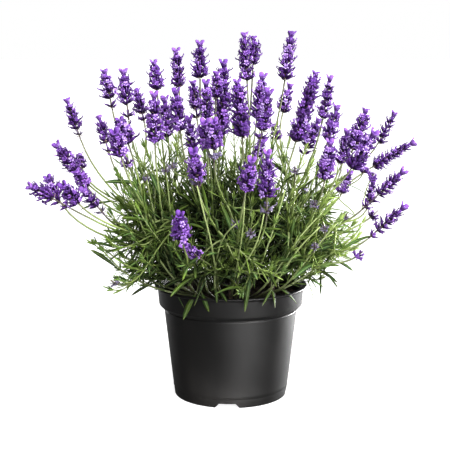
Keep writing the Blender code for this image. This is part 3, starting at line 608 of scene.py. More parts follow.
# The soft boxes in the studio. shown_in: the surfaces that they show in.
SoftBox = namedtuple("SoftBox", "name place aim size power shown_in")
SOFT_BOXES = [
    SoftBox("edge", (0.76, 0.6, 0.1), (0, 0, 0.06), (0.3, 0.25), 48, "gloss"),
    SoftBox("left_edge", (-0.6, 0.8, 0.1), (0, 0, 0.06), (0.2, 0.25), 5, "gloss"),
    SoftBox("low", (0.39, -0.77, 0.06), (0.04, -0.05, 0.05), (0.6, 0.2), 38, "gloss"),
    SoftBox("floor_bounce", (-0.03, -0.088, 0.003), (-0.03, 0, 0.02), (0.1, 0.004), 0.09, "matt"),
    SoftBox("front", (-0.1, -1.6, 0.7), (0, 0, 0.2), (0.8, 0.5), 7.5, "all"),
]

StemEnd = namedtuple("StemEnd", "point direction bloom", defaults=(None,))
Stem = namedtuple("Stem", "branch level points bloom parent fork")
Leaf = namedtuple("Leaf", "root middle tip side normal")


def side_vectors(direction):
    """Two unit vectors at right angles to this direction and to each other."""
    helper = Vector((1, 0, 0)) if abs(direction.x) < NEARLY_ALONG_X else Vector((0, 1, 0))
    across = direction.cross(helper).normalized()
    return across, direction.cross(across).normalized()


# The plan of the plant

def site_point(site, height):
    """The point over a branch's hole at this height."""
    return Vector((site.radius * math.cos(site.turn), site.radius * math.sin(site.turn), height))


def trunk_path(site):
    """The woody foot of a branch: upright in its hole, then leaning outwards."""
    foot = site_point(site, SOIL_TOP - TRUNK_IN_SOIL)
    collar = site_point(site, SOIL_TOP + TRUNK_COLLAR)
    lean = site_point(site, 0) * (TRUNK_LEAN / OUTER_RADIUS)
    return [foot, collar, collar + (UP + lean).normalized() * TRUNK_RISE]


def seen_at(pixel, depth):
    """The point that the eye sees at this pixel, this far behind the pot's axis."""
    right = (pixel[0] - PICTURE_SIDE / 2) / SIGHT_FOCAL
    up = (PICTURE_SIDE / 2 - pixel[1]) / SIGHT_FOCAL
    cosine, sine = math.cos(SIGHT_PITCH), math.sin(SIGHT_PITCH)
    ray = Vector((right, cosine + up * sine, up * cosine - sine))
    return EYE + ray * ((depth - EYE.y) / ray.y)


def bloom_ends(bloom):
    """(lowest point, foot of the main head, tip). The lone whorls lie between the first two."""
    foot = seen_at(bloom.foot, bloom.depth * FOOT_DEPTH_SHARE * MM)
    tip = seen_at(bloom.tip, bloom.depth * MM)
    below = max(bloom.lone) * MM + BELOW_LONE_WHORL if bloom.lone else 0
    return foot + (foot - tip).normalized() * below, foot, tip


def bloom_line(bloom):
    """Points up the middle of a head and its lone whorls."""
    lowest, _, tip = bloom_ends(bloom)
    count = max(2, round((tip - lowest).length / BLOOM_STEP))
    return [lowest.lerp(tip, number / (count - 1)) for number in range(count)]


def nearest_branch(point):
    """The number of the branch that a stem ending over this point grows from."""
    aim = Vector((point.x, point.y, 0)) * PLAN_SHRINK
    distances = [(site_point(site, 0) - aim).length for site in BRANCH_SITES]
    return distances.index(min(distances))


def bent_path(start, end, end_direction):
    """Points along a stem that leaves the trunk upwards and outwards and ends in this direction."""
    span = (end - start).length
    heading = (end - start).normalized() * (1 - STEM_UPWARDS) + UP * STEM_UPWARDS
    first = start + heading.normalized() * (STEM_BEND * span)
    second = end - end_direction * (STEM_BEND * span)
    points = []
    for sample in range(STEM_SAMPLES):
        t = sample / (STEM_SAMPLES - 1)
        s = 1 - t
        points.append(start * s**3 + first * (3 * s * s * t) + second * (3 * s * t * t) + end * t**3)
    return np.array(points)


def stalk_ends():
    """Where each bloom's stalk ends. A small head is joined to its stalk, which runs on into it."""
    for bloom in HEADS + SMALL_HEADS:
        lowest, foot, tip = bloom_ends(bloom)
        axis = (tip - foot).normalized()
        yield StemEnd(lowest + axis * (-STALK_GAP if bloom in HEADS else STALK_IN_SMALL_HEAD), axis, bloom)


def shoot_ends(draw):
    """Where each leafy shoot ends, spread evenly over a dome that is widest above the rim."""
    middle = Vector((0, 0, SOIL_TOP))
    lowest, highest = math.sin(SHOOT_LOWEST), math.sin(SHOOT_HIGHEST)
    for number in range(SHOOTS):
        turn = number * GOLDEN_ANGLE
        height = lowest + (highest - lowest) * (number + 0.5) / SHOOTS
        level = math.sqrt(1 - height**2)
        direction = Vector((math.cos(turn) * level, math.sin(turn) * level, height))
        reach = SHOOT_REACHES[0] + (SHOOT_REACHES[1] - SHOOT_REACHES[0]) * math.sqrt(height)
        end = middle + direction * (reach * draw.uniform(*SHOOT_REACH_SPREAD))
        yield StemEnd(end, (direction + UP * STEM_UPWARDS).normalized())


def stem_foot(branch, parent, fork):
    """Where a stem starts: in the top of its branch's woody foot, or this far along its carrying stem."""
    if parent is None:
        return trunk_path(BRANCH_SITES[branch])[-1] - UP * TRUNK_RADIUS
    return point_along(stretches(parent), fork)[0]


def add_stems(branch, level, parent, fork, ends, stems):
    """A leading stem to the middlemost end, which carries the stems to the other ends as two side stems."""
    start = stem_foot(branch, parent, fork)
    headings = np.array([(end.point - start).normalized() for end in ends])
    offsets = headings - headings.mean(axis=0)
    leader = int(np.linalg.norm(offsets, axis=1).argmin())
    end = ends[leader]
    stem = Stem(branch, level, bent_path(start, end.point, end.direction), end.bloom, parent, fork)
    stems.append(stem)
    widest = np.linalg.svd(offsets)[2][0]
    others = sorted(set(range(len(ends))) - {leader}, key=lambda place: offsets[place] @ widest)
    middle = len(others) // 2
    for side_fork, side in zip(SIDE_STEM_FORKS, (others[:middle], others[middle:])):
        if side:
            add_stems(branch, level + 1, stem, side_fork, [ends[number] for number in side], stems)


def grow_stems(draw):
    """Every stem of the plan: a stalk for each bloom, and the leafy shoots."""
    ends = [*stalk_ends(), *shoot_ends(draw)]
    stems = []
    for branch in range(len(BRANCH_SITES)):
        own = [end for end in ends if nearest_branch(end.point) == branch]
        add_stems(branch, 0, None, 0, own, stems)
    return stems


def keep_apart(stems):
    """Bends the stems so that they pass each other and the heads at a distance. Stalks keep their ends."""
    blooms = HEADS + SMALL_HEADS
    bloom_points = np.array([point for bloom in blooms for point in bloom_line(bloom)])
    bloom_owner = np.array([number for number, bloom in enumerate(blooms) for _ in bloom_line(bloom)])
    share = np.linspace(0, 1, STEM_SAMPLES)
    shoot_give = np.clip((share - STEM_STIFF_SHARE) / STEM_YIELD_SHARE, 0, 1)[:, None]
    stalk_give = np.minimum(shoot_give, np.clip((1 - share) / STALK_END_SHARE, 0, 1)[:, None])
    for _ in range(APART_ROUNDS):
        lines = np.array([stem.points for stem in stems])
        for number, stem in enumerate(stems):
            give = stalk_give if stem.bloom else shoot_give
            own = blooms.index(stem.bloom) if stem.bloom else None
            others = np.delete(lines, number, axis=0).reshape(-1, 3)
            push = away_from(stem.points, others, STEM_GAP)
            push += away_from(stem.points, bloom_points[bloom_owner != own], HEAD_CLEARANCE)
            stem.points[:] += push * give * APART_PUSH
            smooth = (stem.points[:-2] + stem.points[2:]) / 2
            stem.points[1:-1] += (smooth - stem.points[1:-1]) * give[1:-1] * APART_SMOOTHING
        for stem in stems:
            foot = np.array(stem_foot(stem.branch, stem.parent, stem.fork))
            stem.points[:] += (foot - stem.points[0]) * (1 - share[:, None]) ** 3


def away_from(points, obstacles, gap):
    """How far each point has to move to be this far from the obstacle nearest to it."""
    offsets = points[:, None] - obstacles[None]
    distances = np.linalg.norm(offsets, axis=2)
    nearest = distances.argmin(axis=1)
    rows = np.arange(len(points))
    distance = distances[rows, nearest]
    missing = np.clip(gap - distance, 0, None) / np.maximum(distance, NO_DISTANCE)
    return offsets[rows, nearest] * missing[:, None]


def stretches(stem):
    """The few points that the solid of a stem runs through."""
    picked = np.linspace(0, STEM_SAMPLES - 1, STEM_STRETCHES + 1).round().astype(int)
    return [Vector(stem.points[number]) for number in picked]


def path_length(path):
    return sum((far - near).length for near, far in zip(path, path[1:]))


def point_along(path, distance):
    """(point, direction) at this distance along a path."""
    for near, far in zip(path, path[1:]):
        length = (far - near).length
        if distance <= length:
            break
        distance -= length
    return near.lerp(far, distance / length), (far - near).normalized()


def path_samples(path, step=PATH_STEP):
    """Points along a path, this far apart."""
    count = math.ceil(path_length(path) / step)
    return [point_along(path, path_length(path) * number / count)[0] for number in range(count + 1)]


def leaf_at(root, stem_direction, turn, spread, length, droop=LEAF_DROOP):
    """A leaf from a stem: turn is its place round the stem, and spread its angle from it."""
    across, along = side_vectors(stem_direction)
    outwards = across * math.cos(turn) + along * math.sin(turn)
    heading = stem_direction * math.cos(spread) + outwards * math.sin(spread)
    normal = stem_direction * math.sin(spread) - outwards * math.cos(spread)
    root = root - heading * LEAF_ROOT_DEPTH
    middle = root + heading * (length * LEAF_WIDEST)
    tip = middle + (heading - UP * droop).normalized() * (length * (1 - LEAF_WIDEST))
    return Leaf(root, middle, tip, heading.cross(normal).normalized(), normal)


def leaf_samples(leaf):
    """Points along the leaf, past its root."""
    return np.array(path_samples([leaf.root, leaf.middle, leaf.tip], LEAF_SAMPLE_STEP)[2:])


class Surroundings:
    """The places already taken, as points with a radius and the number of the branch that they belong to."""

    def __init__(self):
        self.points = np.zeros((0, 3))
        self.radii = np.zeros(0)
        self.branches = np.zeros(0, int)

    def add(self, points, radius, branch):
        self.points = np.concatenate([self.points, np.array(points)])
        self.radii = np.concatenate([self.radii, np.full(len(points), radius)])
        self.branches = np.concatenate([self.branches, np.full(len(points), branch)])

    def clear_of(self, points, radius, branch):
        """Whether the points stay clear of other branches, and all but the first of their own branch too."""
        near = np.linalg.norm(self.points - points[len(points) // 2], axis=1) < 2 * LEAF_LENGTH[1]
        apart = np.linalg.norm(points[:, None] - self.points[None, near], axis=2)
        apart = apart - self.radii[None, near] - radius
        own = self.branches[near] == branch
        if apart[:, ~own].min(initial=1) < LEAF_GAP:
            return False
        return apart[LEAF_FOOT_SAMPLES:, own].min(initial=1) > 0


def rim_points():
    """Points round the pot's rim and band, which the leaves hang clear of."""
    points = []
    for height in np.arange(BODY_TOP_HEIGHT, POT_HEIGHT, RIM_SAMPLE_STEP):
        for side in range(RIM_SAMPLES):
            turn = math.tau * side / RIM_SAMPLES
            points.append((RIM_RADIUS * math.cos(turn), RIM_RADIUS * math.sin(turn), height))
    return points


def above_soil(points):
    """Whether points inside the pot's rim stay over the soil."""
    inside = np.hypot(points[:, 0], points[:, 1]) < RIM_RADIUS
    return bool((points[inside, 2] > SOIL_TOP + LEAF_OVER_SOIL).all())


def place_leaves(stems, draw):
    """{branch number: leaves}. A leaf that would cross another branch is turned aside, or else left out."""
    taken = Surroundings()
    taken.add(rim_points(), RIM_CLEARANCE, None)
    for bloom in HEADS + SMALL_HEADS:
        taken.add(bloom_line(bloom), FLORET_REACH, -1)
    for stem in stems:
        taken.add(path_samples(stretches(stem)), STEM_RADIUS, stem.branch)
    leaves = {number: [] for number in range(len(BRANCH_SITES))}
    for stem in stems:
        path = stretches(stem)
        total = path_length(path)
        leafy = total * STALK_LEAFY_PART if stem.bloom else total - 2 * PAIR_OFFSET
        step = STALK_LEAF_STEP if stem.bloom else SHOOT_PAIR_STEP
        distance = draw.uniform(*LEAF_FIRST_STEPS) * step
        turn = draw.uniform(0, math.tau)
        while distance < leafy:
            for side in range(1 if stem.bloom else 2):
                spread = LEAF_SPREAD_AT_TIP + LEAF_SPREAD_MORE_AT_FOOT * (1 - distance / total)
                place = point_along(path, distance + side * PAIR_OFFSET)
                leaf = free_leaf(place, turn + side * math.pi, spread, stem.branch, taken, draw)
                if leaf:
                    taken.add(leaf_samples(leaf), LEAF_WIDTH / 2, stem.branch)
                    leaves[stem.branch].append(leaf)
            turn += math.pi / 2
            distance += step
    return leaves


def free_leaf(place, turn, spread, branch, taken, draw):
    """A leaf at this place that crosses nothing, or None."""
    root, direction = place
    length = draw.uniform(*LEAF_LENGTH)
    for attempt in range(LEAF_TRIES):
        aside = LEAF_TURN_ASIDE * ((attempt + 1) // 2) * (-1) ** attempt
        leaf = leaf_at(root, direction, turn + aside, spread, length * LEAF_TRY_SHRINK**attempt)
        points = leaf_samples(leaf)
        if above_soil(points) and taken.clear_of(points, LEAF_WIDTH / 2, branch):
            return leaf
    return None


# Meshes of many small shapes

class Soup:
    """Gathers many small shapes into one mesh, with three numbers at each point for its paint."""

    def __init__(self):
        self.points, self.tints, self.alongs, self.acrosses = [], [], [], []
        self.faces = {3: [], 4: []}
        self.kinds = {3: [], 4: []}
        self.count = 0

    def add(self, points, faces, kind, tint=0.5, along=0.0, across=0.0):
        """points is (copies, corners, 3), and faces lists the corners of each face of one copy."""
        copies, corners = points.shape[:2]
        starts = self.count + corners * np.arange(copies)[:, None, None]
        for size in (3, 4):
            same = np.array([face for face in faces if len(face) == size], int)
            if len(same):
                self.faces[size].append((same[None] + starts).reshape(-1, size))
                self.kinds[size].append(np.full(copies * len(same), kind))
        self.points.append(points.reshape(-1, 3))
        for store, values in ((self.tints, tint), (self.alongs, along), (self.acrosses, across)):
            values = np.asarray(values, float)
            if values.ndim == 1 and len(values) == copies and copies != corners:
                values = values[:, None]
            store.append(np.broadcast_to(values, (copies, corners)).ravel())
        self.count += copies * corners

    def mesh(self, name, materials):
        """The mesh, smooth, with one material for each kind."""
        made = bpy.data.meshes.new(name)
        made.vertices.add(self.count)
        made.vertices.foreach_set("co", np.concatenate(self.points).astype(np.float32).ravel())
        corners, starts, kinds, begin = [], [], [], 0
        for size in (3, 4):
            if self.faces[size]:
                faces = np.concatenate(self.faces[size])
                corners.append(faces.ravel())
                starts.append(begin + size * np.arange(len(faces)))
                kinds.append(np.concatenate(self.kinds[size]))
                begin += faces.size
        made.loops.add(begin)
        made.loops.foreach_set("vertex_index", np.concatenate(corners).astype(np.int32))
        made.polygons.add(len(np.concatenate(starts)))
        made.polygons.foreach_set("loop_start", np.concatenate(starts).astype(np.int32))
        made.polygons.foreach_set("material_index", np.concatenate(kinds).astype(np.int32))
        made.update(calc_edges=True)
        made.shade_smooth()
        for label, values in (("tint", self.tints), ("along", self.alongs), ("across", self.acrosses)):
            made.attributes.new(label, "FLOAT", "POINT").data.foreach_set(
                "value", np.concatenate(values).astype(np.float32)
            )
        for one in materials:
            made.materials.append(one)
        return made


def ring_faces(rings, sides, first_cap=True, last_cap=True):
    """The faces between rings of corners, with fans of quads and triangles on the first and the last."""
    faces = []
    for row in range(rings - 1):
        for side in range(sides):
            near, far = row * sides + side, row * sides + (side + 1) % sides
            faces.append((near, far, far + sides, near + sides))
    for wanted, start, step in ((first_cap, 0, -1), (last_cap, (rings - 1) * sides, 1)):
        if wanted:
            for side in range(1, sides - 1):
                faces.append((start, start + side, start + side + 1)[::step])
    return faces


def unit(vectors):
    return vectors / np.maximum(np.linalg.norm(vectors, axis=-1, keepdims=True), 1e-12)


def level_rings(outline, sides):
    """A ring of corners round Z for each (radius, height) pair."""
    angles = math.tau * np.arange(sides) / sides
    return [np.stack([r * np.cos(angles), r * np.sin(angles), np.full(sides, h)], axis=1) for r, h in outline]


def smooth_path(points, count):
    """This many points evenly along a line of samples."""
    steps = np.concatenate([[0], np.cumsum(np.linalg.norm(np.diff(points, axis=0), axis=1))])
    places = np.linspace(0, steps[-1], count)
    return np.stack([np.interp(places, steps, points[:, axis]) for axis in range(3)], axis=1)


def tube_points(path, radii, sides):
    """Rings of corners along a path, without a twist between them."""
    ahead = unit(np.gradient(path, axis=0))
    across = np.array(side_vectors(Vector(ahead[0]))[0])
    angles = math.tau * np.arange(sides) / sides
    rings = []
    for point, direction, radius in zip(path, ahead, radii):
        across = unit(across - direction * (across @ direction))
        along = np.cross(direction, across)
        rings.append(point + (np.cos(angles)[:, None] * across + np.sin(angles)[:, None] * along) * radius)
    return np.concatenate(rings)[None]


# The leafy branches

STEM_KIND, LEAF_KIND, WOOD_KIND = range(3)


def settle_feet(stems):
    """{id of a stem: its fine path}. Each side stem's foot is on the fine path of its carrying stem."""
    paths = {}
    fade = (1 - np.linspace(0, 1, STEM_SAMPLES)[:, None]) ** 2
    for stem in stems:
        points = stem.points.copy()
        if stem.parent is not None:
            carrier = paths[id(stem.parent)]
            nearest = carrier[np.linalg.norm(carrier - points[0], axis=1).argmin()]
            points += (nearest - points[0]) * fade
        paths[id(stem)] = smooth_path(points, 2 * STEM_SAMPLES)
    return paths


def fill_stems(stems, paths, draw):
    """(branch, path) of each finer shoot that fills the bush, from low on a stem of the plan."""
    middle = Vector((0, 0, SOIL_TOP))
    lowest, highest = math.sin(FILL_LOWEST), math.sin(FILL_HIGHEST)
    for number in range(FILL_SHOOTS):
        turn = number * GOLDEN_ANGLE + FILL_FIRST_TURN
        height = lowest + (highest - lowest) * ((number + 0.5) / FILL_SHOOTS) ** FILL_CROWDING
        level = math.sqrt(1 - height**2)
        direction = Vector((math.cos(turn) * level, math.sin(turn) * level, height))
        reach = FILL_REACHES[0] + (FILL_REACHES[1] - FILL_REACHES[0]) * math.sqrt(height)
        in_front = -direction.y > abs(direction.x)
        reach *= FILL_SHORTER_IN_FRONT if in_front else 1
        reach *= FILL_SHORTER_TO_RIGHT if direction.x > level / 2 else 1
        least_share = FILL_LEAST_SHARE + FILL_LEAST_SHARE_MORE_UPWARDS * height
        end = middle + direction * (reach * draw.uniform(least_share, 1))
        end.z = max(end.z, POT_HEIGHT + (FILL_LOWEST_IN_FRONT if in_front else FILL_LOWEST_ELSEWHERE))
        end.z = max(end.z, POT_HEIGHT + FILL_RISE_TO_RIGHT * end.x)
        branch = nearest_branch(end)
        carriers = [stem for stem in stems if stem.branch == branch]
        carrier = draw.choice(carriers)
        path = [Vector(point) for point in paths[id(carrier)]]
        foot, _ = point_along(path, draw.uniform(*FILL_FOOT_ALONG))
        yield branch, bent_path(foot, end, (direction + UP * draw.uniform(*FILL_UPWARDS)).normalized())


def over_pot(points):
    """Whether these points stay clear of the pot and of its soil."""
    radii = np.hypot(points[:, 0], points[:, 1])
    low = (radii < RIM_RADIUS + RIM_CLEARANCE) & (points[:, 2] < POT_HEIGHT + RIM_CLEARANCE)
    inside = radii < RIM_RADIUS - LIP_OVERHANG - RIM_CLEARANCE
    over_soil = inside & (points[:, 2] > SOIL_TOP + SOIL_CLEARANCE)
    return not (low & ~over_soil).any()


FineLeaf = namedtuple("FineLeaf", "leaf width tint")


def leaf_width(length, height, draw):
    """The width of a leaf of this length whose root is this high."""
    narrowing = NARROWER_UPWARDS * max(0, height - POT_HEIGHT)
    slender = LEAF_SLENDERNESS * draw.uniform(*SLENDERNESS_VARIES)
    slender *= max(NARROWEST_SHARE, WIDER_LOW_DOWN - narrowing)
    return min(max(length * slender, LEAF_WIDTHS[0]), LEAF_WIDTHS[1])


def fine_leaf(place, turn, spread, length, share, draw):
    """A leaf at this (point, direction) of a stem. share: how far up the stem it is."""
    root, direction = place
    droop = draw.uniform(*FINE_DROOPS) * (1 - share)
    leaf = leaf_at(root, direction, turn, spread, length, droop)
    # Painted light: the tint is raised away from the bush's heart and on its right, where the key light falls,
    # and lowered in the heart and on the left.
    outside = (root - Vector(BUSH_HEART)).length
    sunny = 1 + min(SUNNY_MOST, max(-SHADED_MOST, root.x * SUNNY_TO_RIGHT))
    painted_light = min(1, max(LEAST_PAINTED_LIGHT, (outside - PAINTED_LIGHT_FROM) / PAINTED_LIGHT_OVER)) * sunny
    tint = min(1, (TINT_BY_PLACE * share + TINT_BY_CHANCE * draw.random()) * painted_light)
    return FineLeaf(leaf, leaf_width(length, root.z, draw), tint)


def leaf_pair(place, turn, longest, share, draw):
    """Two leaves on opposite sides of a stem, with tufts of small ones beside them."""
    for side in range(2):
        own_turn = turn + side * math.pi
        opening = FINE_SPREAD_MORE_AT_FOOT * (1 - share) * draw.uniform(*FINE_SPREADS)
        spread = math.radians(FINE_SPREAD_AT_TIP + opening)
        length = draw.uniform(*FINE_LENGTHS) * longest * (1 - FINE_SHORTER_AT_TIP * share)
        aside = own_turn + draw.uniform(-FINE_ASIDE, FINE_ASIDE)
        yield fine_leaf(place, aside, spread, length, share, draw)
        if draw.random() < TUFT_CHANCE:
            for _ in range(draw.randint(*TUFT_LEAVES)):
                aside = own_turn + draw.uniform(-TUFT_ASIDE, TUFT_ASIDE)
                small_spread = spread * draw.uniform(*TUFT_SPREADS)
                yield fine_leaf(place, aside, small_spread, length * draw.uniform(*TUFT_SHARES), share, draw)


def fine_leaves(path, leafy_share, longest, draw, bare_part=0):
    """Pairs of leaves along a stem, each at right angles to the last, and a tuft at a leafy shoot's tip."""
    line = [Vector(point) for point in path]
    total = path_length(line)
    distance = bare_part + draw.uniform(*FIRST_NODE)
    turn = draw.uniform(0, math.tau)
    leaves = []
    while distance < total * leafy_share:
        leaves += leaf_pair(point_along(line, distance), turn, longest, distance / total, draw)
        turn += math.pi / 2 + draw.uniform(-NODE_TWIST, NODE_TWIST)
        distance += draw.uniform(*NODE_STEP)
    if leafy_share == 1:
        end = point_along(line, total * TIP_LEAF_PLACE)
        for number in range(TIP_LEAVES):
            spread = draw.uniform(*TIP_LEAF_SPREADS)
            length = draw.uniform(*TIP_LEAF_LENGTH)
            leaves.append(fine_leaf(end, number * GOLDEN_ANGLE, spread, length, 1, draw))
    return [one for one in leaves if over_pot(outer_half(one.leaf))]


def old_leaves(path, draw):
    """Broad dark leaves low on a stem, inside the bush: partly the colour of old leaves, partly painted shade
    that closes the view through the heart.
    """
    line = [Vector(point) for point in path]
    leaves = []
    distance = OLD_LEAF_PART[0] + draw.uniform(0, OLD_LEAF_STEP)
    while distance < min(OLD_LEAF_PART[1], OLD_LEAF_MOST_SHARE * path_length(line)):
        root, direction = point_along(line, distance)
        length = draw.uniform(*OLD_LEAF_LENGTH)
        spread = draw.uniform(*OLD_LEAF_SPREADS)
        turn = draw.uniform(0, math.tau)
        leaf = leaf_at(root, direction, turn, spread, length, draw.uniform(*OLD_LEAF_DROOPS))
        leaves.append(FineLeaf(leaf, draw.uniform(*OLD_LEAF_WIDTH), draw.uniform(*OLD_AND_SHADED_LEAF_TINTS)))
        distance += OLD_LEAF_STEP
    return [one for one in leaves if inside_bush(one.leaf) and over_pot(outer_half(one.leaf))]


def inside_bush(leaf):
    """Whether a leaf's tip stays in the dark heart of the bush."""
    return (leaf.tip - Vector(BUSH_HEART)).length < HEART_RADIUS


def side_leaf(side):
    """A leaf that shows at the bush's side, at its place in the picture."""
    root, tip = seen_at(side.root, side.depth * MM), seen_at(side.tip, side.depth * MM)
    middle = root.lerp(tip, 0.5) + UP * LEAF_ARCH
    flat = (tip - root).cross(Vector((0, 1, 0))).normalized()
    return FineLeaf(Leaf(root, middle, tip, flat, None), side.width, SIDE_LEAF_SHADE_TINT)


def outer_half(leaf):
    """Three points from the middle of a leaf to its tip."""
    return np.array([list(leaf.middle.lerp(leaf.tip, share)) for share in (0, 0.5, 1)])


def add_leaves(soup, fine, draw):
    """The blades, with fewer faces on the short ones."""
    for blade, wanted in ((LONG_BLADE, True), (SHORT_BLADE, False)):
        chosen = [one for one in fine if ((one.leaf.tip - one.leaf.root).length > LONG_BLADE_LEAST) == wanted]
        if chosen:
            add_blades(soup, blade, chosen, draw)


def add_blades(soup, blade, fine, draw):
    """Narrow blades with a channel along the middle and edges that turn down."""
    count = len(fine)
    roots, middles, tips, sides = (np.array([list(one.leaf[place]) for one in fine]) for place in range(4))
    bends = 2 * middles - (roots + tips) / 2
    s = blade.shares[None, :, None]
    centres = roots[:, None] * (1 - s) ** 2 + bends[:, None] * (2 * s * (1 - s)) + tips[:, None] * s**2
    headings = unit((bends - roots)[:, None] * (1 - s) + (tips - bends)[:, None] * s)
    twists = np.array([draw.uniform(-BLADE_TWIST, BLADE_TWIST) for _ in range(count)])[:, None, None] * s
    flat = unit(sides[:, None] - headings * (sides[:, None] * headings).sum(axis=2, keepdims=True))
    normals = np.cross(flat, headings)
    across = flat * np.cos(twists) + normals * np.sin(twists)
    above = normals * np.cos(twists) - flat * np.sin(twists)
    widths = np.array([one.width for one in fine]) / 2
    half = (widths[:, None] * blade.widths)[:, :, None, None]
    shape_across, shape_above = blade.section[None, None, :, 0, None], blade.section[None, None, :, 1, None]
    spans = across[:, :, None] * shape_across + above[:, :, None] * shape_above
    points = (centres[:, :, None] + half * spans).reshape(count, -1, 3)
    rings, corners = len(blade.shares), len(blade.section)
    tints = np.array([one.tint for one in fine])
    along = np.repeat(blade.shares, corners)
    sideways = np.tile(blade.section[:, 0], rings)
    soup.add(points, ring_faces(rings, corners), LEAF_KIND, tints[:, None], along, sideways)


def add_stem(soup, path, foot_radius, tip_radius, tint, top_tone=0):
    """A stem that tapers to its tip. top_tone: how high up, at least, its paint takes the tip to be."""
    rings = smooth_path(path, STEM_RINGS)
    share = np.linspace(0, 1, STEM_RINGS)
    radii = foot_radius + (tip_radius - foot_radius) * share**TAPER_POWER
    points = tube_points(rings, radii, STEM_CORNERS)
    heights = np.repeat(np.maximum(rings[:, 2], top_tone * share), STEM_CORNERS)
    soup.add(points, ring_faces(STEM_RINGS, STEM_CORNERS), STEM_KIND, tint, heights)


def showy_line(showy):
    """The path of a stem that shows in front, which comes up from the foot of the bush."""
    depths = np.linspace(*showy.depths, len(showy.line))
    corners = [seen_at(pixel, depth * MM) for pixel, depth in zip(showy.line, depths)]
    foot = corners[0].copy()
    foot.x *= SHOWY_FOOT_DEPTH_SHARE
    foot.y *= SHOWY_FOOT_DEPTH_SHARE
    foot.z = SOIL_TOP + SOIL_MOUND / 2
    line = smooth_path(np.array([list(corner) for corner in [foot, *corners]]), STEM_SAMPLES)
    for _ in range(SHOWY_SMOOTHING_ROUNDS):
        line[1:-1] = (line[:-2] + line[2:] + 2 * line[1:-1]) / 4
    return line


def over_rim(pixel, out):
    """The point in front of the rim, this far outside it, that the eye sees at this pixel."""
    depth = -RIM_RADIUS
    for _ in range(HANG_ROUNDS):
        across = seen_at(pixel, depth).x
        depth = -math.sqrt(max(0, (RIM_RADIUS + out) ** 2 - across**2))
    return seen_at(pixel, depth)


def add_twig(soup, paths, root, beyond, draw):
    """A twig that carries a hanging leaf, from the stem that passes nearest."""
    points = np.concatenate([path[len(path) // 8 : len(path) // 2] for path in paths])
    foot = Vector(points[np.linalg.norm(points - np.array(root + UP * TWIG_RISE), axis=1).argmin()])
    path = bent_path(foot, root, (beyond - root).normalized())
    add_stem(soup, path, TWIG_FOOT_RADIUS, TWIG_RADIUS, draw.random())


def add_side_stalk(soup, paths, bloom):
    """A twig that carries a small whorl, from the stem that passes nearest below it."""
    _, foot, tip = bloom_ends(bloom)
    points = np.concatenate(paths)
    lower = points[points[:, 2] < foot.z - SIDE_WHORL_RISE]
    start = Vector(lower[np.linalg.norm(lower - np.array(foot), axis=1).argmin()])
    path = bent_path(start, foot, (tip - foot).normalized())
    add_stem(soup, path, TWIG_RADIUS, TWIG_RADIUS, SIDE_STALK_TINT, STALK_TOP_TONE)


def add_trunk(soup, number, draw):
    """The woody foot of a branch, with an uneven girth."""
    corners = np.array([list(point) for point in trunk_path(BRANCH_SITES[number])])
    trunk = smooth_path(corners, TRUNK_RINGS)
    radii = np.linspace(TRUNK_RADIUS, TRUNK_TOP_RADIUS, TRUNK_RINGS)
    radii *= np.array([draw.uniform(*TRUNK_UNEVENNESS) for _ in trunk])
    soup.add(tube_points(trunk, radii, TRUNK_CORNERS), ring_faces(TRUNK_RINGS, TRUNK_CORNERS), WOOD_KIND)


def plan_leaf(leaf, draw):
    """A leaf of the plan, half as long where it hangs low over the rim."""
    if leaf.tip.z < PLAN_TIP_LEAST_HEIGHT:
        middle, tip = (leaf.root.lerp(point, 0.5) for point in (leaf.middle, leaf.tip))
        leaf = leaf._replace(middle=middle, tip=tip)
    width = leaf_width((leaf.tip - leaf.root).length, leaf.root.z, draw)
    return FineLeaf(leaf, width, draw.uniform(*PLAN_LEAF_TINTS))


def add_shoot(soup, path, draw, longest=SHOOT_LEAF_LENGTH, bare_part=0):
    """A leafy shoot, whose leaves it returns."""
    add_stem(soup, path, SHOOT_FOOT_RADIUS, SHOOT_TIP_RADIUS, draw.random())
    return fine_leaves(path, 1, longest, draw, bare_part)


def add_plan_stem(soup, stem, path, draw):
    """A stalk or shoot of the plan, whose leaves it returns."""
    old = old_leaves(path, draw)
    if not stem.bloom:
        return old + add_shoot(soup, path, draw)
    add_stem(soup, path, STALK_FOOT_RADIUS, STALK_TIP_RADIUS, draw.uniform(*STALK_TINTS), STALK_TOP_TONE)
    return old + fine_leaves(path, STALK_LEAFY_PART, STALK_LEAF_LENGTH, draw)


def add_showy_stem(soup, line, leafy_share, draw):
    """A stem that shows in front, whose leaves it returns."""
    add_stem(soup, line, SHOWY_FOOT_RADIUS, SHOWY_TIP_RADIUS, draw.uniform(*SHOWY_TINTS))
    return fine_leaves(line, leafy_share, SHOWY_LEAF_LENGTH, draw, SHOWY_BARE_PART)


def hanging_leaf(hanging, root, draw):
    """A leaf that hangs over the rim from this root."""
    tip = over_rim(hanging.tip, HANG_CLEARANCE)
    outwards = Vector((root.x, root.y, 0))
    middle = root.lerp(tip, HANG_BEND_SHARE) + (outwards.normalized() + UP) * LEAF_ARCH
    side = (tip - root).cross(outwards).normalized()
    return FineLeaf(Leaf(root, middle, tip, side, None), hanging.width, draw.uniform(*HANG_TINTS))


def add_single_leaves(soup, number, paths, draw):
    """A branch's hanging leaves and side leaves with their twigs. It returns the leaves."""
    leaves = []
    for hanging in HANGING_LEAVES:
        root = over_rim(hanging.root, -2 * HANG_CLEARANCE)
        if nearest_branch(root) == number:
            leaves.append(hanging_leaf(hanging, root, draw))
            add_twig(soup, paths, root, leaves[-1].leaf.middle, draw)
    for side in SIDE_LEAVES:
        one = side_leaf(side)
        if nearest_branch(one.leaf.root) == number:
            leaves.append(one)
            add_twig(soup, paths, one.leaf.root, one.leaf.middle, draw)
    return leaves


def lines_of(showy_stems, number):
    """(stem, its path) of each of these stems that belongs to this branch."""
    lines = [(showy, showy_line(showy)) for showy in showy_stems]
    return [(showy, line) for showy, line in lines if nearest_branch(Vector(line[-1])) == number]


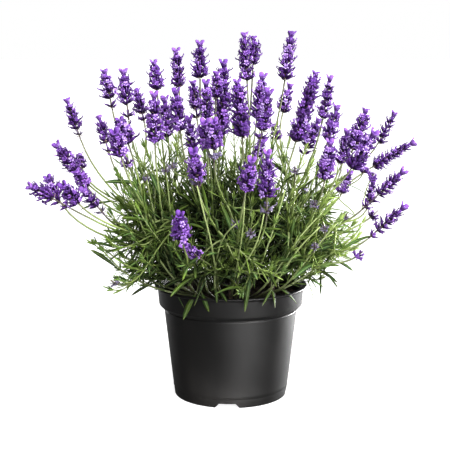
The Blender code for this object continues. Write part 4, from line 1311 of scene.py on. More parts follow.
def build_branch(number, stems, plan_leaves, paths, fills, draw, materials):
    """One branch, with its woody foot, its stalks and shoots and all their leaves."""
    soup = Soup()
    add_trunk(soup, number, draw)
    leaves = [plan_leaf(leaf, draw) for leaf in plan_leaves]
    for stem in stems:
        leaves += add_plan_stem(soup, stem, paths[id(stem)], draw)
    for path in fills:
        leaves += add_shoot(soup, path, draw)
    own_paths = [paths[id(stem)] for stem in stems]
    for showy, line in lines_of(SHOWY_STEMS, number):
        leaves += add_showy_stem(soup, line, showy.leafy_share, draw)
    leaves += add_single_leaves(soup, number, own_paths, draw)
    for bloom in SIDE_WHORLS:
        if nearest_branch(bloom_ends(bloom)[1]) == number:
            add_side_stalk(soup, own_paths, bloom)
    high_draw = random.Random(HIGH_SHOOT_SEED + number)
    for _, line in lines_of(HIGH_SHOOTS, number):
        leaves += add_shoot(soup, line, high_draw, HIGH_SHOOT_LEAF_LENGTH, SHOWY_BARE_PART)
    add_leaves(soup, leaves, draw)
    name = f"foliage_{number + 1}"
    return place_piece(name, soup.mesh(name, materials), "foliage", f"branch_{number + 1}")


def place_piece(name, mesh, slot, *nodes):
    """A piece of the object that stands for these nodes of the frame."""
    piece = bpy.data.objects.new(name, mesh)
    bpy.context.scene.collection.objects.link(piece)
    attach(piece, "root")
    if nodes:
        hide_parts(*nodes)
    return piece


# The flower heads

CALYX_KIND, COROLLA_KIND, AXIS_KIND, BRACT_KIND, SPENT_CALYX_KIND, SPENT_COROLLA_KIND = range(6)

# How many of their flowers are open on the brightest and on the darkest heads, by the place of the head's tip
OPEN_SHARES = {(119, 117): 0.7, (75, 170): 0.6, (269, 89): 0.6, (27, 184): 0.15, (82, 188): 0.2,
               (179, 213): 0.6, (193, 150): 0.6, (331, 139): 0.6, (98, 114): 0.2, (406, 169): 0.15,
               (416, 141): 0.15, (407, 205): 0.15, (396, 111): 0.1}
USUAL_OPEN_SHARES = (0.28, 0.5)
SMALL_OPEN_SHARE = 0.7
SPENT_OPEN_SHARE = 0.4
HEAD_SIZES = (1.28, 1.46)
SPENT_SIZE = 0.7
HEADS_SEED = 5

# The fullest and the slimmest heads, by the place of the tip, and their florets' size beside the usual one
FULL_HEADS = {(224, 60), (237, 78), (263, 73), (154, 91), (331, 139), (367, 107), (376, 131), (119, 117),
              (204, 120), (214, 119), (179, 213), (317, 70)}
FULL_HEAD = 1.14
SLIM_HEADS = {(407, 205), (406, 169), (416, 141), (396, 111), (374, 179), (66, 97), (98, 114), (82, 188),
              (331, 75), (217, 70), (188, 116)}
SLIM_HEAD = 0.84

# The heads with spent lone whorls, and the small heads that are spent altogether, by the place of the tip too
LONE_SPENT = {(268, 150), (193, 150), (214, 119), (82, 188), (66, 97)}
STARS = {(251, 226), (315, 239), (108, 278), (322, 218), (366, 249), (382, 207), (295, 163)}
SPENT = {(251, 226), (295, 163), (315, 239), (108, 278), (192, 172), (150, 190), (305, 188), (322, 218),
         (316, 198), (172, 160), (348, 211)}


def calyx_shape():
    """(points, faces, along) of one calyx of unit length along Z, hollow at its mouth."""
    heights = [height for _, height in CALYX_OUTLINE]
    corners = np.concatenate(level_rings(CALYX_OUTLINE, CALYX_SIDES))
    return corners, ring_faces(len(heights), CALYX_SIDES), np.repeat(heights, CALYX_SIDES)


# angle: round the flower from its upper side, in degrees. rise: how far the lobe leans forwards.
Lobe = namedtuple("Lobe", "angle length width rise")
OPEN_LOBES = [Lobe(-30, 1, 0.8, 0.75), Lobe(30, 1, 0.8, 0.75), Lobe(108, 0.72, 0.55, 0.1),
              Lobe(180, 0.78, 0.6, 0.2), Lobe(252, 0.72, 0.55, 0.1)]
TUFT_LOBES = [Lobe(136, 1, 0.62, 1.9), Lobe(224, 1, 0.62, 1.9), Lobe(35, 0.7, 0.56, 2.0),
              Lobe(-40, 0.64, 0.56, 1.8)]
LOBE_OUTLINE = [(0.0, -0.16), (0.64, -0.5), (1.0, -0.06), (0.7, 0.48), (0.0, 0.16)]
TUFT_OUTLINE = [(0.0, -0.2), (0.5, -0.46), (0.86, -0.42), (1.0, 0.0), (0.86, 0.42), (0.5, 0.46), (0.0, 0.2)]
LOBE_THICKNESS = 0.09
LOBE_CUPPING = 0.5
THROAT = [(0.11, -0.65), (0.21, 0.04)]
TUFT_THROAT = [(0.12, -0.8), (0.24, 0.04)]
THROAT_SIDES = 4
THROAT_RADIUS = 0.16
THROAT_ALONG = 0.35
BUD_SIZE = (0.55 * MM, 0.6 * MM, 2.9 * MM)
BUD_POINTS = [(3.6, 1.4, 1.0), (3.4, -1.4, 0.92)]
BRACT_SIZE = (2.6 * MM, 2.8 * MM, 3.8 * MM)

# Each ring of a bud, as how high up it is, its radius and how far it is bent forwards
BUD_RINGS = [(0.0, 1.0, 0.0), (0.5, 0.85, 0.5), (0.88, 1.15, 1.7)]


def lobe_points(lobe, lobe_outline):
    """(points, along) of one lobe, with its front side before its back."""
    angle = math.radians(lobe.angle)
    outwards = np.array([math.cos(angle), math.sin(angle), lobe.rise]) / math.hypot(1, lobe.rise)
    sideways = np.array([-math.sin(angle), math.cos(angle), 0])
    normal = np.cross(outwards, sideways)
    root = np.array([math.cos(angle), math.sin(angle), 0]) * THROAT_RADIUS
    points = []
    for face_side in (0.5, -0.5):
        for reach, across in lobe_outline:
            flat = root + outwards * (reach * lobe.length) + sideways * (across * lobe.width)
            points.append(flat + normal * (LOBE_THICKNESS * face_side + LOBE_CUPPING * across**2))
    return points, [THROAT_ALONG + (1 - THROAT_ALONG) * reach for reach, _ in lobe_outline] * 2


def lobe_faces(sides):
    """The faces of a lobe whose outline has an odd number of corners."""
    half = sides // 2
    strips = [(k, k + 1, sides - 2 - k, sides - 1 - k) for k in range(half - 1)]
    strips += [(half - 1, half, half + 1)]
    back = [tuple(sides + corner for corner in strip[::-1]) for strip in strips]
    rim = [(k, sides + k, sides + (k + 1) % sides, (k + 1) % sides) for k in range(sides)]
    return strips + back + rim


def corolla_shape(lobes, lobe_outline, throat):
    """(points, faces, along) of an open flower along Z: a short tube, and lobes with the upper ones at +X."""
    points = [*np.concatenate(level_rings(throat, THROAT_SIDES))]
    faces = ring_faces(len(throat), THROAT_SIDES)
    along = [0.0] * len(points)
    for lobe in lobes:
        first = len(points)
        faces += [tuple(first + corner for corner in face) for face in lobe_faces(len(lobe_outline))]
        own_points, own_along = lobe_points(lobe, lobe_outline)
        points += own_points
        along += own_along
    return np.array(points), faces, np.array(along)


def bract_shape():
    """(points, faces, along) of a thin pointed bract along Z."""
    outline = [(0, 0), (0.5, 0.45), (0, 1), (-0.5, 0.45)]
    front = [(0.06 + 0.12 * z, y, z) for y, z in outline]
    back = [(x - 0.1, y, z) for x, y, z in front]
    faces = [(0, 1, 2, 3), (7, 6, 5, 4)]
    faces += [(k, k + 4, (k + 1) % 4 + 4, (k + 1) % 4) for k in range(4)]
    return np.array(front + back), faces, np.array([z for _, z in outline] * 2)


def bud_shape():
    """(points, faces, along) of a small hooked flower along Z, bent towards +X and ending in two points."""
    corners = [(math.cos(turn), math.sin(turn)) for turn in (0, math.tau / 3, 2 * math.tau / 3)]
    points = []
    for height, radius, bend in BUD_RINGS:
        points += [(x * radius + bend, y * radius, height) for x, y in corners]
    faces = ring_faces(len(BUD_RINGS), 3, True, False) + [(6, 7, 9), (7, 8, 10, 9), (8, 6, 10), (6, 9, 10)]
    return np.array(points + BUD_POINTS), faces, np.array([0.5] * 3 + [0.7] * 3 + [0.9] * 3 + [1.0] * 2)


Floret = namedtuple("Floret", "place heading upwards size tint")


def place_shapes(soup, shape, scale, florets, kind):
    """Copies of a shape, each along a floret's heading, with +X turned to its upwards direction."""
    if not florets:
        return
    corners, faces, along = shape
    headings = unit(np.array([list(floret.heading) for floret in florets]))
    upwards = np.array([list(floret.upwards) for floret in florets])
    upwards = unit(upwards - headings * (upwards * headings).sum(axis=1, keepdims=True))
    sideways = np.cross(headings, upwards)
    turns = np.stack([upwards, sideways, headings], axis=2)
    sizes = np.array([floret.size for floret in florets])[:, None, None]
    places = np.array([list(floret.place) for floret in florets])[:, None]
    points = np.einsum("nij,vj->nvi", turns, corners * np.array(scale)) * sizes + places
    tints = np.array([floret.tint for floret in florets])
    soup.add(points, faces, kind, tints[:, None], along[None])


def whorl_florets(middle, axis, start_turn, count, lean, size, draw):
    """The places and headings of a whorl's florets."""
    across, along = side_vectors(axis)
    for number in range(count):
        turn = start_turn + math.tau * number / count + draw.uniform(-FLORET_TURNS, FLORET_TURNS)
        outwards = across * math.cos(turn) + along * math.sin(turn)
        tilt = lean + draw.uniform(-FLORET_TILTS, FLORET_TILTS)
        heading = axis * math.cos(tilt) + outwards * math.sin(tilt)
        place = middle + outwards * FLORET_FOOT + axis * draw.uniform(-WHORL_UNEVENNESS, WHORL_UNEVENNESS)
        yield Floret(place, heading, axis, size * draw.uniform(*FLORET_SIZES), draw.random())


def mouth_of(calyx):
    return calyx.place + calyx.heading * (MOUTH_PLACE * calyx.size)


# spent: whether the whole head is past its best. lone_spent: whether its lone whorls are.
Habit = namedtuple("Habit", "open_share size spent lone_spent tufted", defaults=(False, False, True))
Whorl = namedtuple("Whorl", "middle axis count lean size open_share spent")


def build_head(name, bloom, habit, draw, materials, *nodes):
    """A flower head: whorls of calyces over small bracts, some with an open flower, and a tuft at the tip."""
    lowest, foot, tip = bloom_ends(bloom)
    axis = (tip - foot).normalized()
    length = (tip - foot).length
    soup = Soup()
    tuft_height = min(TUFT_LOBE_UPWARDS * TUFT_LOBE, TUFT_MOST_SHARE * length)
    tuft_part = min(TUFT_NECK + tuft_height, TUFTED_MOST_SHARE * length)
    top = tip - axis * (tuft_part if habit.tufted else BLUNT_SHARE * length)
    whorls = max(2, round((top - foot).length / WHORL_STEP) + 1) if habit.tufted else 1
    for share in np.linspace(0, 1, whorls):
        whorl = Whorl(foot.lerp(top, share) + axis * WHORL_LIFT, axis, WHORL_FLORETS,
                      math.radians(LEAN_AT_FOOT - LESS_LEAN_AT_TOP * share),
                      habit.size * (1 - WHORL_SHRINK_AT_TOP * share**2), habit.open_share, habit.spent)
        add_whorl(soup, whorl, draw)
    for below in bloom.lone:
        whorl = Whorl(foot - axis * (below * MM), axis, LONE_FLORETS, LONE_LEAN, LONE_SIZE * habit.size,
                      habit.open_share * LONE_OPEN_SHARE, habit.lone_spent)
        add_whorl(soup, whorl, draw)
    tuft_foot = tip - axis * tuft_height
    if habit.tufted:
        add_tuft(soup, top, tuft_foot, axis, habit, draw)
    spine = np.array([list(lowest.lerp(tuft_foot, share)) for share in np.linspace(0, 1, HEAD_SPINE_RINGS)])
    radii = np.linspace(*HEAD_SPINE_RADII, HEAD_SPINE_RINGS)
    soup.add(tube_points(spine, radii, STEM_CORNERS), ring_faces(HEAD_SPINE_RINGS, STEM_CORNERS), AXIS_KIND)
    return place_piece(name, soup.mesh(name, materials), "flowers", *nodes)


def add_whorl(soup, whorl, draw):
    """One whorl of calyces, with a flower or a bud in each, over a few bracts."""
    calyces, corollas, buds = [], [], []
    axis = whorl.axis
    turn = draw.uniform(0, math.tau)
    for floret in whorl_florets(whorl.middle, axis, turn, whorl.count, whorl.lean, whorl.size, draw):
        calyces.append(floret)
        inner = floret._replace(place=mouth_of(floret))
        if draw.random() < whorl.open_share:
            size = floret.size * draw.uniform(*FLOWER_SIZES)
            corollas.append(inner._replace(size=size, tint=draw.random()))
        else:
            heading = floret.heading - axis * draw.uniform(*BUD_BENDS)
            size = floret.size * draw.uniform(*BUD_SIZES)
            buds.append(inner._replace(heading=heading, size=size, tint=draw.uniform(*BUD_TINTS)))
    lower = whorl.middle - axis * BRACT_DROP
    lean = whorl.lean + BRACT_LEANS_MORE
    bracts = list(whorl_florets(lower, axis, turn + BRACT_TURN, BRACTS, lean, whorl.size * BRACT_SHARE, draw))
    calyx_kind = SPENT_CALYX_KIND if whorl.spent else CALYX_KIND
    corolla_kind = SPENT_COROLLA_KIND if whorl.spent else COROLLA_KIND
    place_shapes(soup, CALYX, CALYX_SIZE, calyces, calyx_kind)
    place_shapes(soup, OPEN_FLOWER, [LOBE_LENGTH] * 3, corollas, corolla_kind)
    place_shapes(soup, BUD, BUD_SIZE, buds, calyx_kind if draw.random() < DARK_BUDS else corolla_kind)
    place_shapes(soup, BRACT, BRACT_SIZE, bracts, BRACT_KIND)


def add_tuft(soup, top, tuft_foot, axis, habit, draw):
    """The bright lobes at the tip, with a few small calyces below them."""
    turn = draw.uniform(0, math.tau)
    calyx_foot = top + axis * TUFT_CALYX_RISE
    size = TUFT_CALYX_SIZE * habit.size
    calyces = list(whorl_florets(calyx_foot, axis, turn, TUFT_CALYCES, TUFT_CALYX_LEAN, size, draw))
    across, _ = side_vectors(axis)
    lean = axis + across * draw.uniform(-TUFT_LEANS, TUFT_LEANS)
    up = Vector((draw.uniform(-TUFT_TURNS, TUFT_TURNS), -1, 0.2))
    flower = Floret(tuft_foot, lean.normalized(), up, draw.uniform(*TUFT_SIZES), draw.uniform(*TUFT_TINTS))
    place_shapes(soup, CALYX, CALYX_SIZE, calyces, CALYX_KIND)
    kind = SPENT_COROLLA_KIND if habit.spent else COROLLA_KIND
    place_shapes(soup, TUFT_FLOWER, [TUFT_LOBE] * 3, [flower], kind)


CALYX = calyx_shape()
OPEN_FLOWER = corolla_shape(OPEN_LOBES, LOBE_OUTLINE, THROAT)
TUFT_FLOWER = corolla_shape(TUFT_LOBES, TUFT_OUTLINE, TUFT_THROAT)
BRACT = bract_shape()
BUD = bud_shape()


# The pot and the soil

def turned(profile, sides, closed_ring):
    """A solid of revolution about Z, from (radius, height) pairs. A closed ring is joined end to end."""
    rings = level_rings(profile, sides)
    faces = ring_faces(len(profile), sides, not closed_ring, not closed_ring)
    if closed_ring:
        last = (len(profile) - 1) * sides
        faces += [(last + side, last + (side + 1) % sides, (side + 1) % sides, side) for side in range(sides)]
    soup = Soup()
    soup.add(np.concatenate(rings)[None], faces, 0)
    return soup


def arc(centre, radius, start, end, count):
    """Points on a circle of the profile, from one angle to another, in degrees."""
    turns = np.radians(np.linspace(start, end, count))
    return [(centre[0] + radius * math.cos(turn), centre[1] + radius * math.sin(turn)) for turn in turns]


def notch_mesh(turn):
    """A cutter for one of the openings that the foot's ring has at its lower edge."""
    outer = FOOT_RADIUS + NOTCH_CUT_DEPTH / 2
    inner = outer - NOTCH_CUT_DEPTH
    outwards = np.array([math.cos(turn), math.sin(turn), 0])
    sideways = np.array([-math.sin(turn), math.cos(turn), 0])
    below = -CUT_OVERRUN
    flare = (NOTCH_BOTTOM_WIDTH - NOTCH_TOP_WIDTH) / 2 * (1 + CUT_OVERRUN / NOTCH_HEIGHT)
    corners = []
    for reach in (inner, outer):
        for across, height in ((-1, below), (1, below), (1, NOTCH_HEIGHT), (-1, NOTCH_HEIGHT)):
            half = NOTCH_TOP_WIDTH / 2 + (flare if height == below else 0)
            corners.append(outwards * reach + sideways * (across * half) + np.array([0, 0, height]))
    faces = [(0, 1, 2, 3), (7, 6, 5, 4), (0, 4, 5, 1), (1, 5, 6, 2), (2, 6, 7, 3), (3, 7, 4, 0)]
    mesh = bpy.data.meshes.new("notch")
    mesh.from_pydata([tuple(corner) for corner in corners], [], faces)
    return mesh


def drain_mesh(turn):
    """A cutter for one of the holes in the base."""
    middle_x, middle_y = DRAIN_RING_RADIUS * math.cos(turn), DRAIN_RING_RADIUS * math.sin(turn)
    corners = []
    for height in (BASE_UNDERSIDE - CUT_OVERRUN, BASE_UNDERSIDE + BASE_THICKNESS + CUT_OVERRUN):
        for side in range(DRAIN_SIDES):
            angle = math.tau * side / DRAIN_SIDES
            x, y = middle_x + DRAIN_RADIUS * math.cos(angle), middle_y + DRAIN_RADIUS * math.sin(angle)
            corners.append((x, y, height))
    mesh = bpy.data.meshes.new("drain")
    mesh.from_pydata(corners, [], ring_faces(2, DRAIN_SIDES))
    return mesh


def face_outwards(mesh):
    """Turns the faces of a closed mesh outwards."""
    shape = bmesh.new()
    shape.from_mesh(mesh)
    bmesh.ops.recalc_face_normals(shape, faces=shape.faces)
    shape.to_mesh(mesh)
    shape.free()
    return mesh


def cut(piece, meshes):
    """Takes these shapes out of a piece."""
    cutter = bpy.data.objects.new("cutter", bpy.data.meshes.new("cutter"))
    bpy.context.scene.collection.objects.link(cutter)
    for mesh in meshes:
        cutter.data = face_outwards(mesh)
        modifier = piece.modifiers.new("cut", "BOOLEAN")
        modifier.operation = "DIFFERENCE"
        modifier.solver = "EXACT"
        modifier.object = cutter
        graph = bpy.context.evaluated_depsgraph_get()
        done = bpy.data.meshes.new_from_object(piece.evaluated_get(graph))
        piece.modifiers.clear()
        piece.data = done
    bpy.data.objects.remove(cutter)


def steps_from(corner, steps):
    """Points of an outline, these many millimetres outwards and upwards from one of its corners."""
    return [(corner[0] + outwards * MM, corner[1] + upwards * MM) for outwards, upwards in steps]


def pot_outside():
    """The pot's outline from the top of its lip, down its outside, to the middle of its underside."""
    lip_rounding = LIP_HEIGHT / 2
    line = arc((RIM_RADIUS - lip_rounding, POT_HEIGHT - lip_rounding), lip_rounding, 90, -60, 9)
    line += steps_from((RIM_RADIUS - LIP_OVERHANG, POT_HEIGHT - LIP_HEIGHT), UNDER_LIP)
    line += steps_from((BAND_FOOT_RADIUS, BAND_FOOT_HEIGHT), OVER_BAND_FOOT)
    line += arc(BAND_FOOT_MIDDLE, BAND_FOOT_ROUNDING, 0, -50, 5)
    line += steps_from((BODY_TOP_RADIUS, BODY_TOP_HEIGHT), GROOVE)
    for share in WALL_SHARES:
        radius = BODY_TOP_RADIUS + (FOOT_RADIUS - BODY_TOP_RADIUS) * share
        line.append((radius, BODY_TOP_HEIGHT * (1 - share)))
    line += steps_from((FOOT_RADIUS + WALL_SLOPE * FOOT_STEP_HEIGHT, FOOT_STEP_HEIGHT), FOOT_STEP)
    line += steps_from((FOOT_RADIUS, EDGE_ROUNDING), OVER_FOOT)
    line += arc((FOOT_RADIUS - EDGE_ROUNDING, EDGE_ROUNDING), EDGE_ROUNDING, 0, -90, 6)
    ring_inside = FOOT_RADIUS - EDGE_ROUNDING - FOOT_RING_WIDTH
    return line + [(ring_inside, 0), (ring_inside, BASE_UNDERSIDE), (INNERMOST, BASE_UNDERSIDE)]


def pot_inside():
    """The pot's outline from the middle of its floor up to its lip."""
    floor = BASE_UNDERSIDE + BASE_THICKNESS
    band_top = RIM_RADIUS - LIP_OVERHANG
    line = [(INNERMOST, floor), (FOOT_RADIUS + WALL_SLOPE * floor - WALL, floor)]
    line += [(BODY_TOP_RADIUS - WALL, BODY_TOP_HEIGHT + WALL / 2)]
    line += [(BAND_FOOT_RADIUS - WALL, BAND_FOOT_HEIGHT + WALL / 2)]
    line += [(band_top - WALL, POT_HEIGHT - LIP_HEIGHT)]
    return line + arc((band_top, POT_HEIGHT - LIP_INSIDE_ROUNDING), LIP_INSIDE_ROUNDING, 180, 90, 5)


def build_pot(material):
    """The pot, with its notches and drain holes cut out."""
    solid = turned(pot_outside() + pot_inside(), FINE_POT_SIDES, True)
    mesh = face_outwards(solid.mesh("pot_shell", [material]))
    pot = place_piece("pot_shell", mesh, "pot_plastic", "pot")
    turns = [NOTCH_TURN + math.tau * number / NOTCHES for number in range(NOTCHES)]
    cut(pot, [notch_mesh(turn) for turn in turns] + [drain_mesh(turn) for turn in turns])
    pot.data.shade_smooth()
    pot.data.set_sharp_from_angle(angle=POT_SHARP_EDGES)


def soil_height(x, y):
    """How high the mounded soil with its long waves is at a place. x and y may be arrays."""
    along, across, slanting = LONG_WAVES
    waves = np.sin(x * along + LONG_WAVE_START) * np.cos(y * across)
    waves = waves + SLANTING_WAVE_SHARE * np.sin((x + 2 * y) * slanting)
    share = np.hypot(x, y) / OUTER_RADIUS
    return SOIL_TOP + SOIL_MOUND * (1 - share**2 / 2) + SOIL_CRUMB * waves


def soil_grain(x, y):
    """The soil's fine unevenness, from -1 to 1. x and y may be arrays."""
    first_bend = FINE_WAVE_BENDS[0] * np.sin(y * WAVES_OF_FINE_WAVES[0])
    second_bend = FINE_WAVE_BENDS[1] * np.sin(x * WAVES_OF_FINE_WAVES[1])
    return np.sin(x * FINE_WAVES[0] + first_bend) * np.sin(y * FINE_WAVES[1] + second_bend)


def build_soil(bed_material, crumb_material, draw):
    """A crumbly surface with loose crumbs on it, over a plain body that fills the pot."""
    edge = BAND_FOOT_RADIUS - WALL - GAP
    foot = BASE_UNDERSIDE + BASE_THICKNESS + GAP
    profile = [(INNERMOST, foot), (FOOT_RADIUS + WALL_SLOPE * foot - WALL - GAP, foot)]
    profile += [(BODY_TOP_RADIUS - WALL - GAP, BODY_TOP_HEIGHT + WALL / 2)]
    profile += [(edge, BAND_FOOT_HEIGHT + WALL / 2), (edge, SOIL_TOP - SOIL_MOUND)]
    profile += [(edge * share, SOIL_TOP) for share in SOIL_RING_SHARES]
    bed = turned(profile, SOIL_SIDES, False)
    points = bed.points[0]
    top = points[:, 2] > SOIL_TOP - SOIL_CRUMB
    x, y = points[top, 0], points[top, 1]
    points[top, 2] = soil_height(x, y) + SOIL_ROUGHNESS * soil_grain(x, y)
    place_piece("soil_bed", bed.mesh("soil_bed", [bed_material]), "soil", "potting_soil")
    add_crumbs(edge, crumb_material, draw)


def add_crumbs(edge, material, draw):
    """Loose crumbs on the soil."""
    crumbs = Soup()
    shape, faces = crumb_shape()
    for _ in range(CRUMBS):
        radius = edge * math.sqrt(draw.random()) * CRUMB_REACH
        turn = draw.uniform(0, math.tau)
        x, y = radius * math.cos(turn), radius * math.sin(turn)
        size = draw.uniform(*CRUMB_SIZES) ** 2 * CRUMB_SIZE
        stretch = np.array([draw.uniform(*CRUMB_STRETCHES) for _ in range(3)])
        jitter = np.array([[draw.uniform(*CRUMB_JITTERS)] for _ in shape])
        middle = np.array([x, y, soil_height(x, y) + CRUMB_RISE * size])
        crumbs.add((shape * jitter * stretch * size + middle)[None], faces, 0, draw.random())
    place_piece("soil_crumbs", crumbs.mesh("soil_crumbs", [material]), "soil")


def crumb_shape():
    """(points, faces) of an icosahedron."""
    golden = (1 + math.sqrt(5)) / 2
    points = [(s, t * golden, 0) for s in (-1, 1) for t in (-1, 1)]
    points += [(0, s, t * golden) for s in (-1, 1) for t in (-1, 1)]
    points += [(t * golden, 0, s) for s in (-1, 1) for t in (-1, 1)]
    points = np.array(points) / math.hypot(1, golden)
    faces = []
    for a in range(12):
        for b in range(a + 1, 12):
            for c in range(b + 1, 12):
                trio = points[[a, b, c]]
                sides = [np.linalg.norm(trio[k] - trio[k - 1]) for k in range(3)]
                if max(sides) < CRUMB_NEIGHBOURS_WITHIN:
                    outward = np.cross(trio[1] - trio[0], trio[2] - trio[0]) @ trio[0] > 0
                    faces.append((a, b, c) if outward else (a, c, b))
    return points, faces


# Materials

class Paint:
    """A Principled material and the nodes that feed it."""

    def __init__(self, name, roughness, specular=0.5):
        self.material = bpy.data.materials.new(name)
        self.material.use_nodes = True
        self.tree = self.material.node_tree
        self.shader = self.tree.nodes["Principled BSDF"]
        self.shader.inputs["Roughness"].default_value = roughness
        self.shader.inputs["Specular IOR Level"].default_value = specular
        self.bump_node = None

    def node(self, kind, **inputs):
        made = self.tree.nodes.new(kind)
        for label, value in inputs.items():
            self.feed(value, made.inputs[label.replace("_", " ")])
        return made

    def feed(self, value, socket):
        if isinstance(value, bpy.types.NodeSocket):
            self.tree.links.new(value, socket)
        elif isinstance(value, tuple) and len(value) == 3 and socket.type == "RGBA":
            socket.default_value = (*value, 1)
        else:
            socket.default_value = value

    def attribute(self, label):
        made = self.node("ShaderNodeAttribute")
        made.attribute_name = label
        return made.outputs["Fac"]

    def noise(self, scale, detail=4.0, stretch=(1, 1, 1)):
        """Noise in the object's own space. The scale is features for each metre."""
        place = self.node("ShaderNodeTexCoord").outputs["Object"]
        mapped = self.node("ShaderNodeMapping", Vector=place, Scale=stretch)
        made = self.node("ShaderNodeTexNoise", Vector=mapped.outputs["Vector"], Scale=scale, Detail=detail)
        return made.outputs["Fac"]

    def ramp(self, value, *stops):
        """A colour for each place along a value."""
        made = self.node("ShaderNodeValToRGB", Fac=value)
        elements = made.color_ramp.elements
        while len(elements) < len(stops):
            elements.new(0.5)
        for element, (place, colour) in zip(elements, stops):
            element.position = place
            element.color = (*colour, 1)
        return made.outputs["Color"]

    def level(self, value, low, high, start=0.0, end=1.0):
        """The value moved from one range to another, and held in it."""
        ends = {"From_Min": start, "From_Max": end, "To_Min": low, "To_Max": high}
        return self.node("ShaderNodeMapRange", Value=value, **ends).outputs["Result"]

    def math(self, operation, first, second=0.0):
        made = self.node("ShaderNodeMath")
        made.operation = operation
        self.feed(first, made.inputs[0])
        self.feed(second, made.inputs[1])
        return made.outputs[0]

    def outwards(self, low, high):
        """How far out in the bush a point is, from low at its heart to high at its outside: the mix factor of
        the painted shade in the heart.
        """
        place = self.node("ShaderNodeTexCoord").outputs["Object"]
        made = self.node("ShaderNodeVectorMath")
        made.operation = "DISTANCE"
        self.tree.links.new(place, made.inputs[0])
        made.inputs[1].default_value = BUSH_HEART
        return self.level(made.outputs["Value"], low, high, *BUSH_SHADE)

    def mix(self, first, second, factor, blend="MIX"):
        made = self.tree.nodes.new("ShaderNodeMix")
        made.data_type = "RGBA"
        made.blend_type = blend
        self.feed(factor, made.inputs[0])
        self.feed(first, made.inputs[6])
        self.feed(second, made.inputs[7])
        return made.outputs[2]

    def colour(self, value):
        self.feed(value, self.shader.inputs["Base Color"])

    def rough(self, value):
        self.feed(value, self.shader.inputs["Roughness"])

    def bump(self, height, distance, strength=1.0):
        made = self.node("ShaderNodeBump", Height=height, Distance=distance, Strength=strength)
        if self.bump_node:
            self.tree.links.new(self.bump_node.outputs["Normal"], made.inputs["Normal"])
        self.bump_node = made
        self.tree.links.new(made.outputs["Normal"], self.shader.inputs["Normal"])


def pot_paint():
    """Charcoal plastic with a fine moulded grain, faint upright streaks and faint patches of dust all over."""
    paint = Paint("black_plastic", 0.5, 0.2)
    streaks = paint.noise(14, 3, (5, 5, 0.6))
    patches = paint.noise(35, 5)
    base = paint.ramp(streaks, (0.35, (0.0042, 0.0038, 0.0036)), (0.7, (0.0062, 0.0056, 0.0052)))
    paint.colour(paint.mix(base, (0.03, 0.028, 0.026), paint.level(patches, 0, 0.08, 0.52, 0.75)))
    paint.rough(paint.level(patches, 0.47, 0.56, 0.3, 0.7))
    paint.bump(paint.noise(2600, 2), 0.00006, 0.5)
    paint.bump(paint.noise(60, 2, (1, 1, 0.3)), 0.0005, 0.18)
    return paint.material


def soil_paint(name, dark, light):
    """Moist peat."""
    paint = Paint(name, 0.92, 0.3)
    grain = paint.noise(420, 8)
    colour = paint.ramp(grain, (0.35, dark), (0.62, light))
    pale_bits = paint.level(paint.attribute("tint"), 0, 0.5, 0.8, 1.0)
    paint.colour(paint.mix(colour, (0.09, 0.06, 0.035), pale_bits))
    paint.bump(grain, 0.0012, 0.9)
    paint.bump(paint.noise(1600, 4), 0.0004, 0.7)
    return paint.material


def leaf_paint():
    """Dark green low down, fresh yellow-green at the shoots' tips, paler along the middle, and painted near
    black as shade in the bush's heart.
    """
    paint = Paint("lavender_leaf", 0.65, 0.08)
    tint = paint.attribute("tint")
    # The tint also carries painted light from the leaf's place: lighter on the bush's outside and right,
    # darker in its heart and on its left.
    base = paint.ramp(tint, (0.0, (0.022, 0.042, 0.004)), (0.4, (0.085, 0.147, 0.016)),
                      (0.75, (0.23, 0.35, 0.052)), (1.0, (0.45, 0.58, 0.17)))
    streaks = paint.noise(900, 4)
    base = paint.mix(base, (0.27, 0.36, 0.15), paint.level(streaks, 0, 0.28, 0.45, 0.7))
    base = paint.mix(base, (0.115, 0.235, 0.09), paint.level(paint.noise(45, 2), 0, 0.6, 0.48, 0.62))
    across = paint.math("ABSOLUTE", paint.attribute("across"))
    base = paint.mix(base, (0.45, 0.57, 0.24), paint.level(across, 0.5, 0.0, 0.0, 0.28))
    base = paint.mix(base, (0.26, 0.29, 0.07), paint.level(paint.attribute("along"), 0, 0.5, 0.85, 1.0))
    # Painted shade: the colour goes to near black towards the bush's heart.
    paint.colour(paint.mix((0.004, 0.008, 0.001), base, paint.outwards(0.05, 1.0)))
    paint.shader.inputs["Sheen Weight"].default_value = 0.02
    paint.shader.inputs["Sheen Roughness"].default_value = 0.5
    paint.bump(streaks, 0.0002, 0.5)
    return paint.material


def stem_paint():
    """Light olive green, browner low down, with fine ridges, and painted darker as shade in the bush's heart.
    """
    paint = Paint("lavender_stem", 0.5, 0.2)
    height = paint.level(paint.attribute("along"), 0, 1, 0.115, 0.34)
    base = paint.ramp(height, (0.0, (0.14, 0.12, 0.05)), (0.16, (0.24, 0.31, 0.08)),
                      (0.6, (0.29, 0.37, 0.12)), (1.0, (0.16, 0.15, 0.11)))
    base = paint.mix(base, (0.50, 0.58, 0.28), paint.level(paint.attribute("tint"), 0, 0.65, 0.2, 1.0))
    base = paint.mix(base, (0.13, 0.17, 0.05), paint.level(paint.noise(500, 4), 0, 0.5, 0.5, 0.75))
    # Painted shade: the colour goes darker towards the bush's heart.
    paint.colour(paint.mix((0.01, 0.016, 0.005), base, paint.outwards(0.2, 1.0)))
    paint.bump(paint.noise(1500, 3), 0.00015, 0.4)
    return paint.material


def wood_paint():
    """Grey-brown bark, cracked lengthways."""
    paint = Paint("lavender_bark", 0.85, 0.3)
    cracks = paint.noise(900, 6, (1, 1, 0.25))
    paint.colour(paint.ramp(cracks, (0.35, (0.05, 0.035, 0.022)), (0.65, (0.20, 0.16, 0.11))))
    paint.bump(cracks, 0.0008, 0.9)
    return paint.material


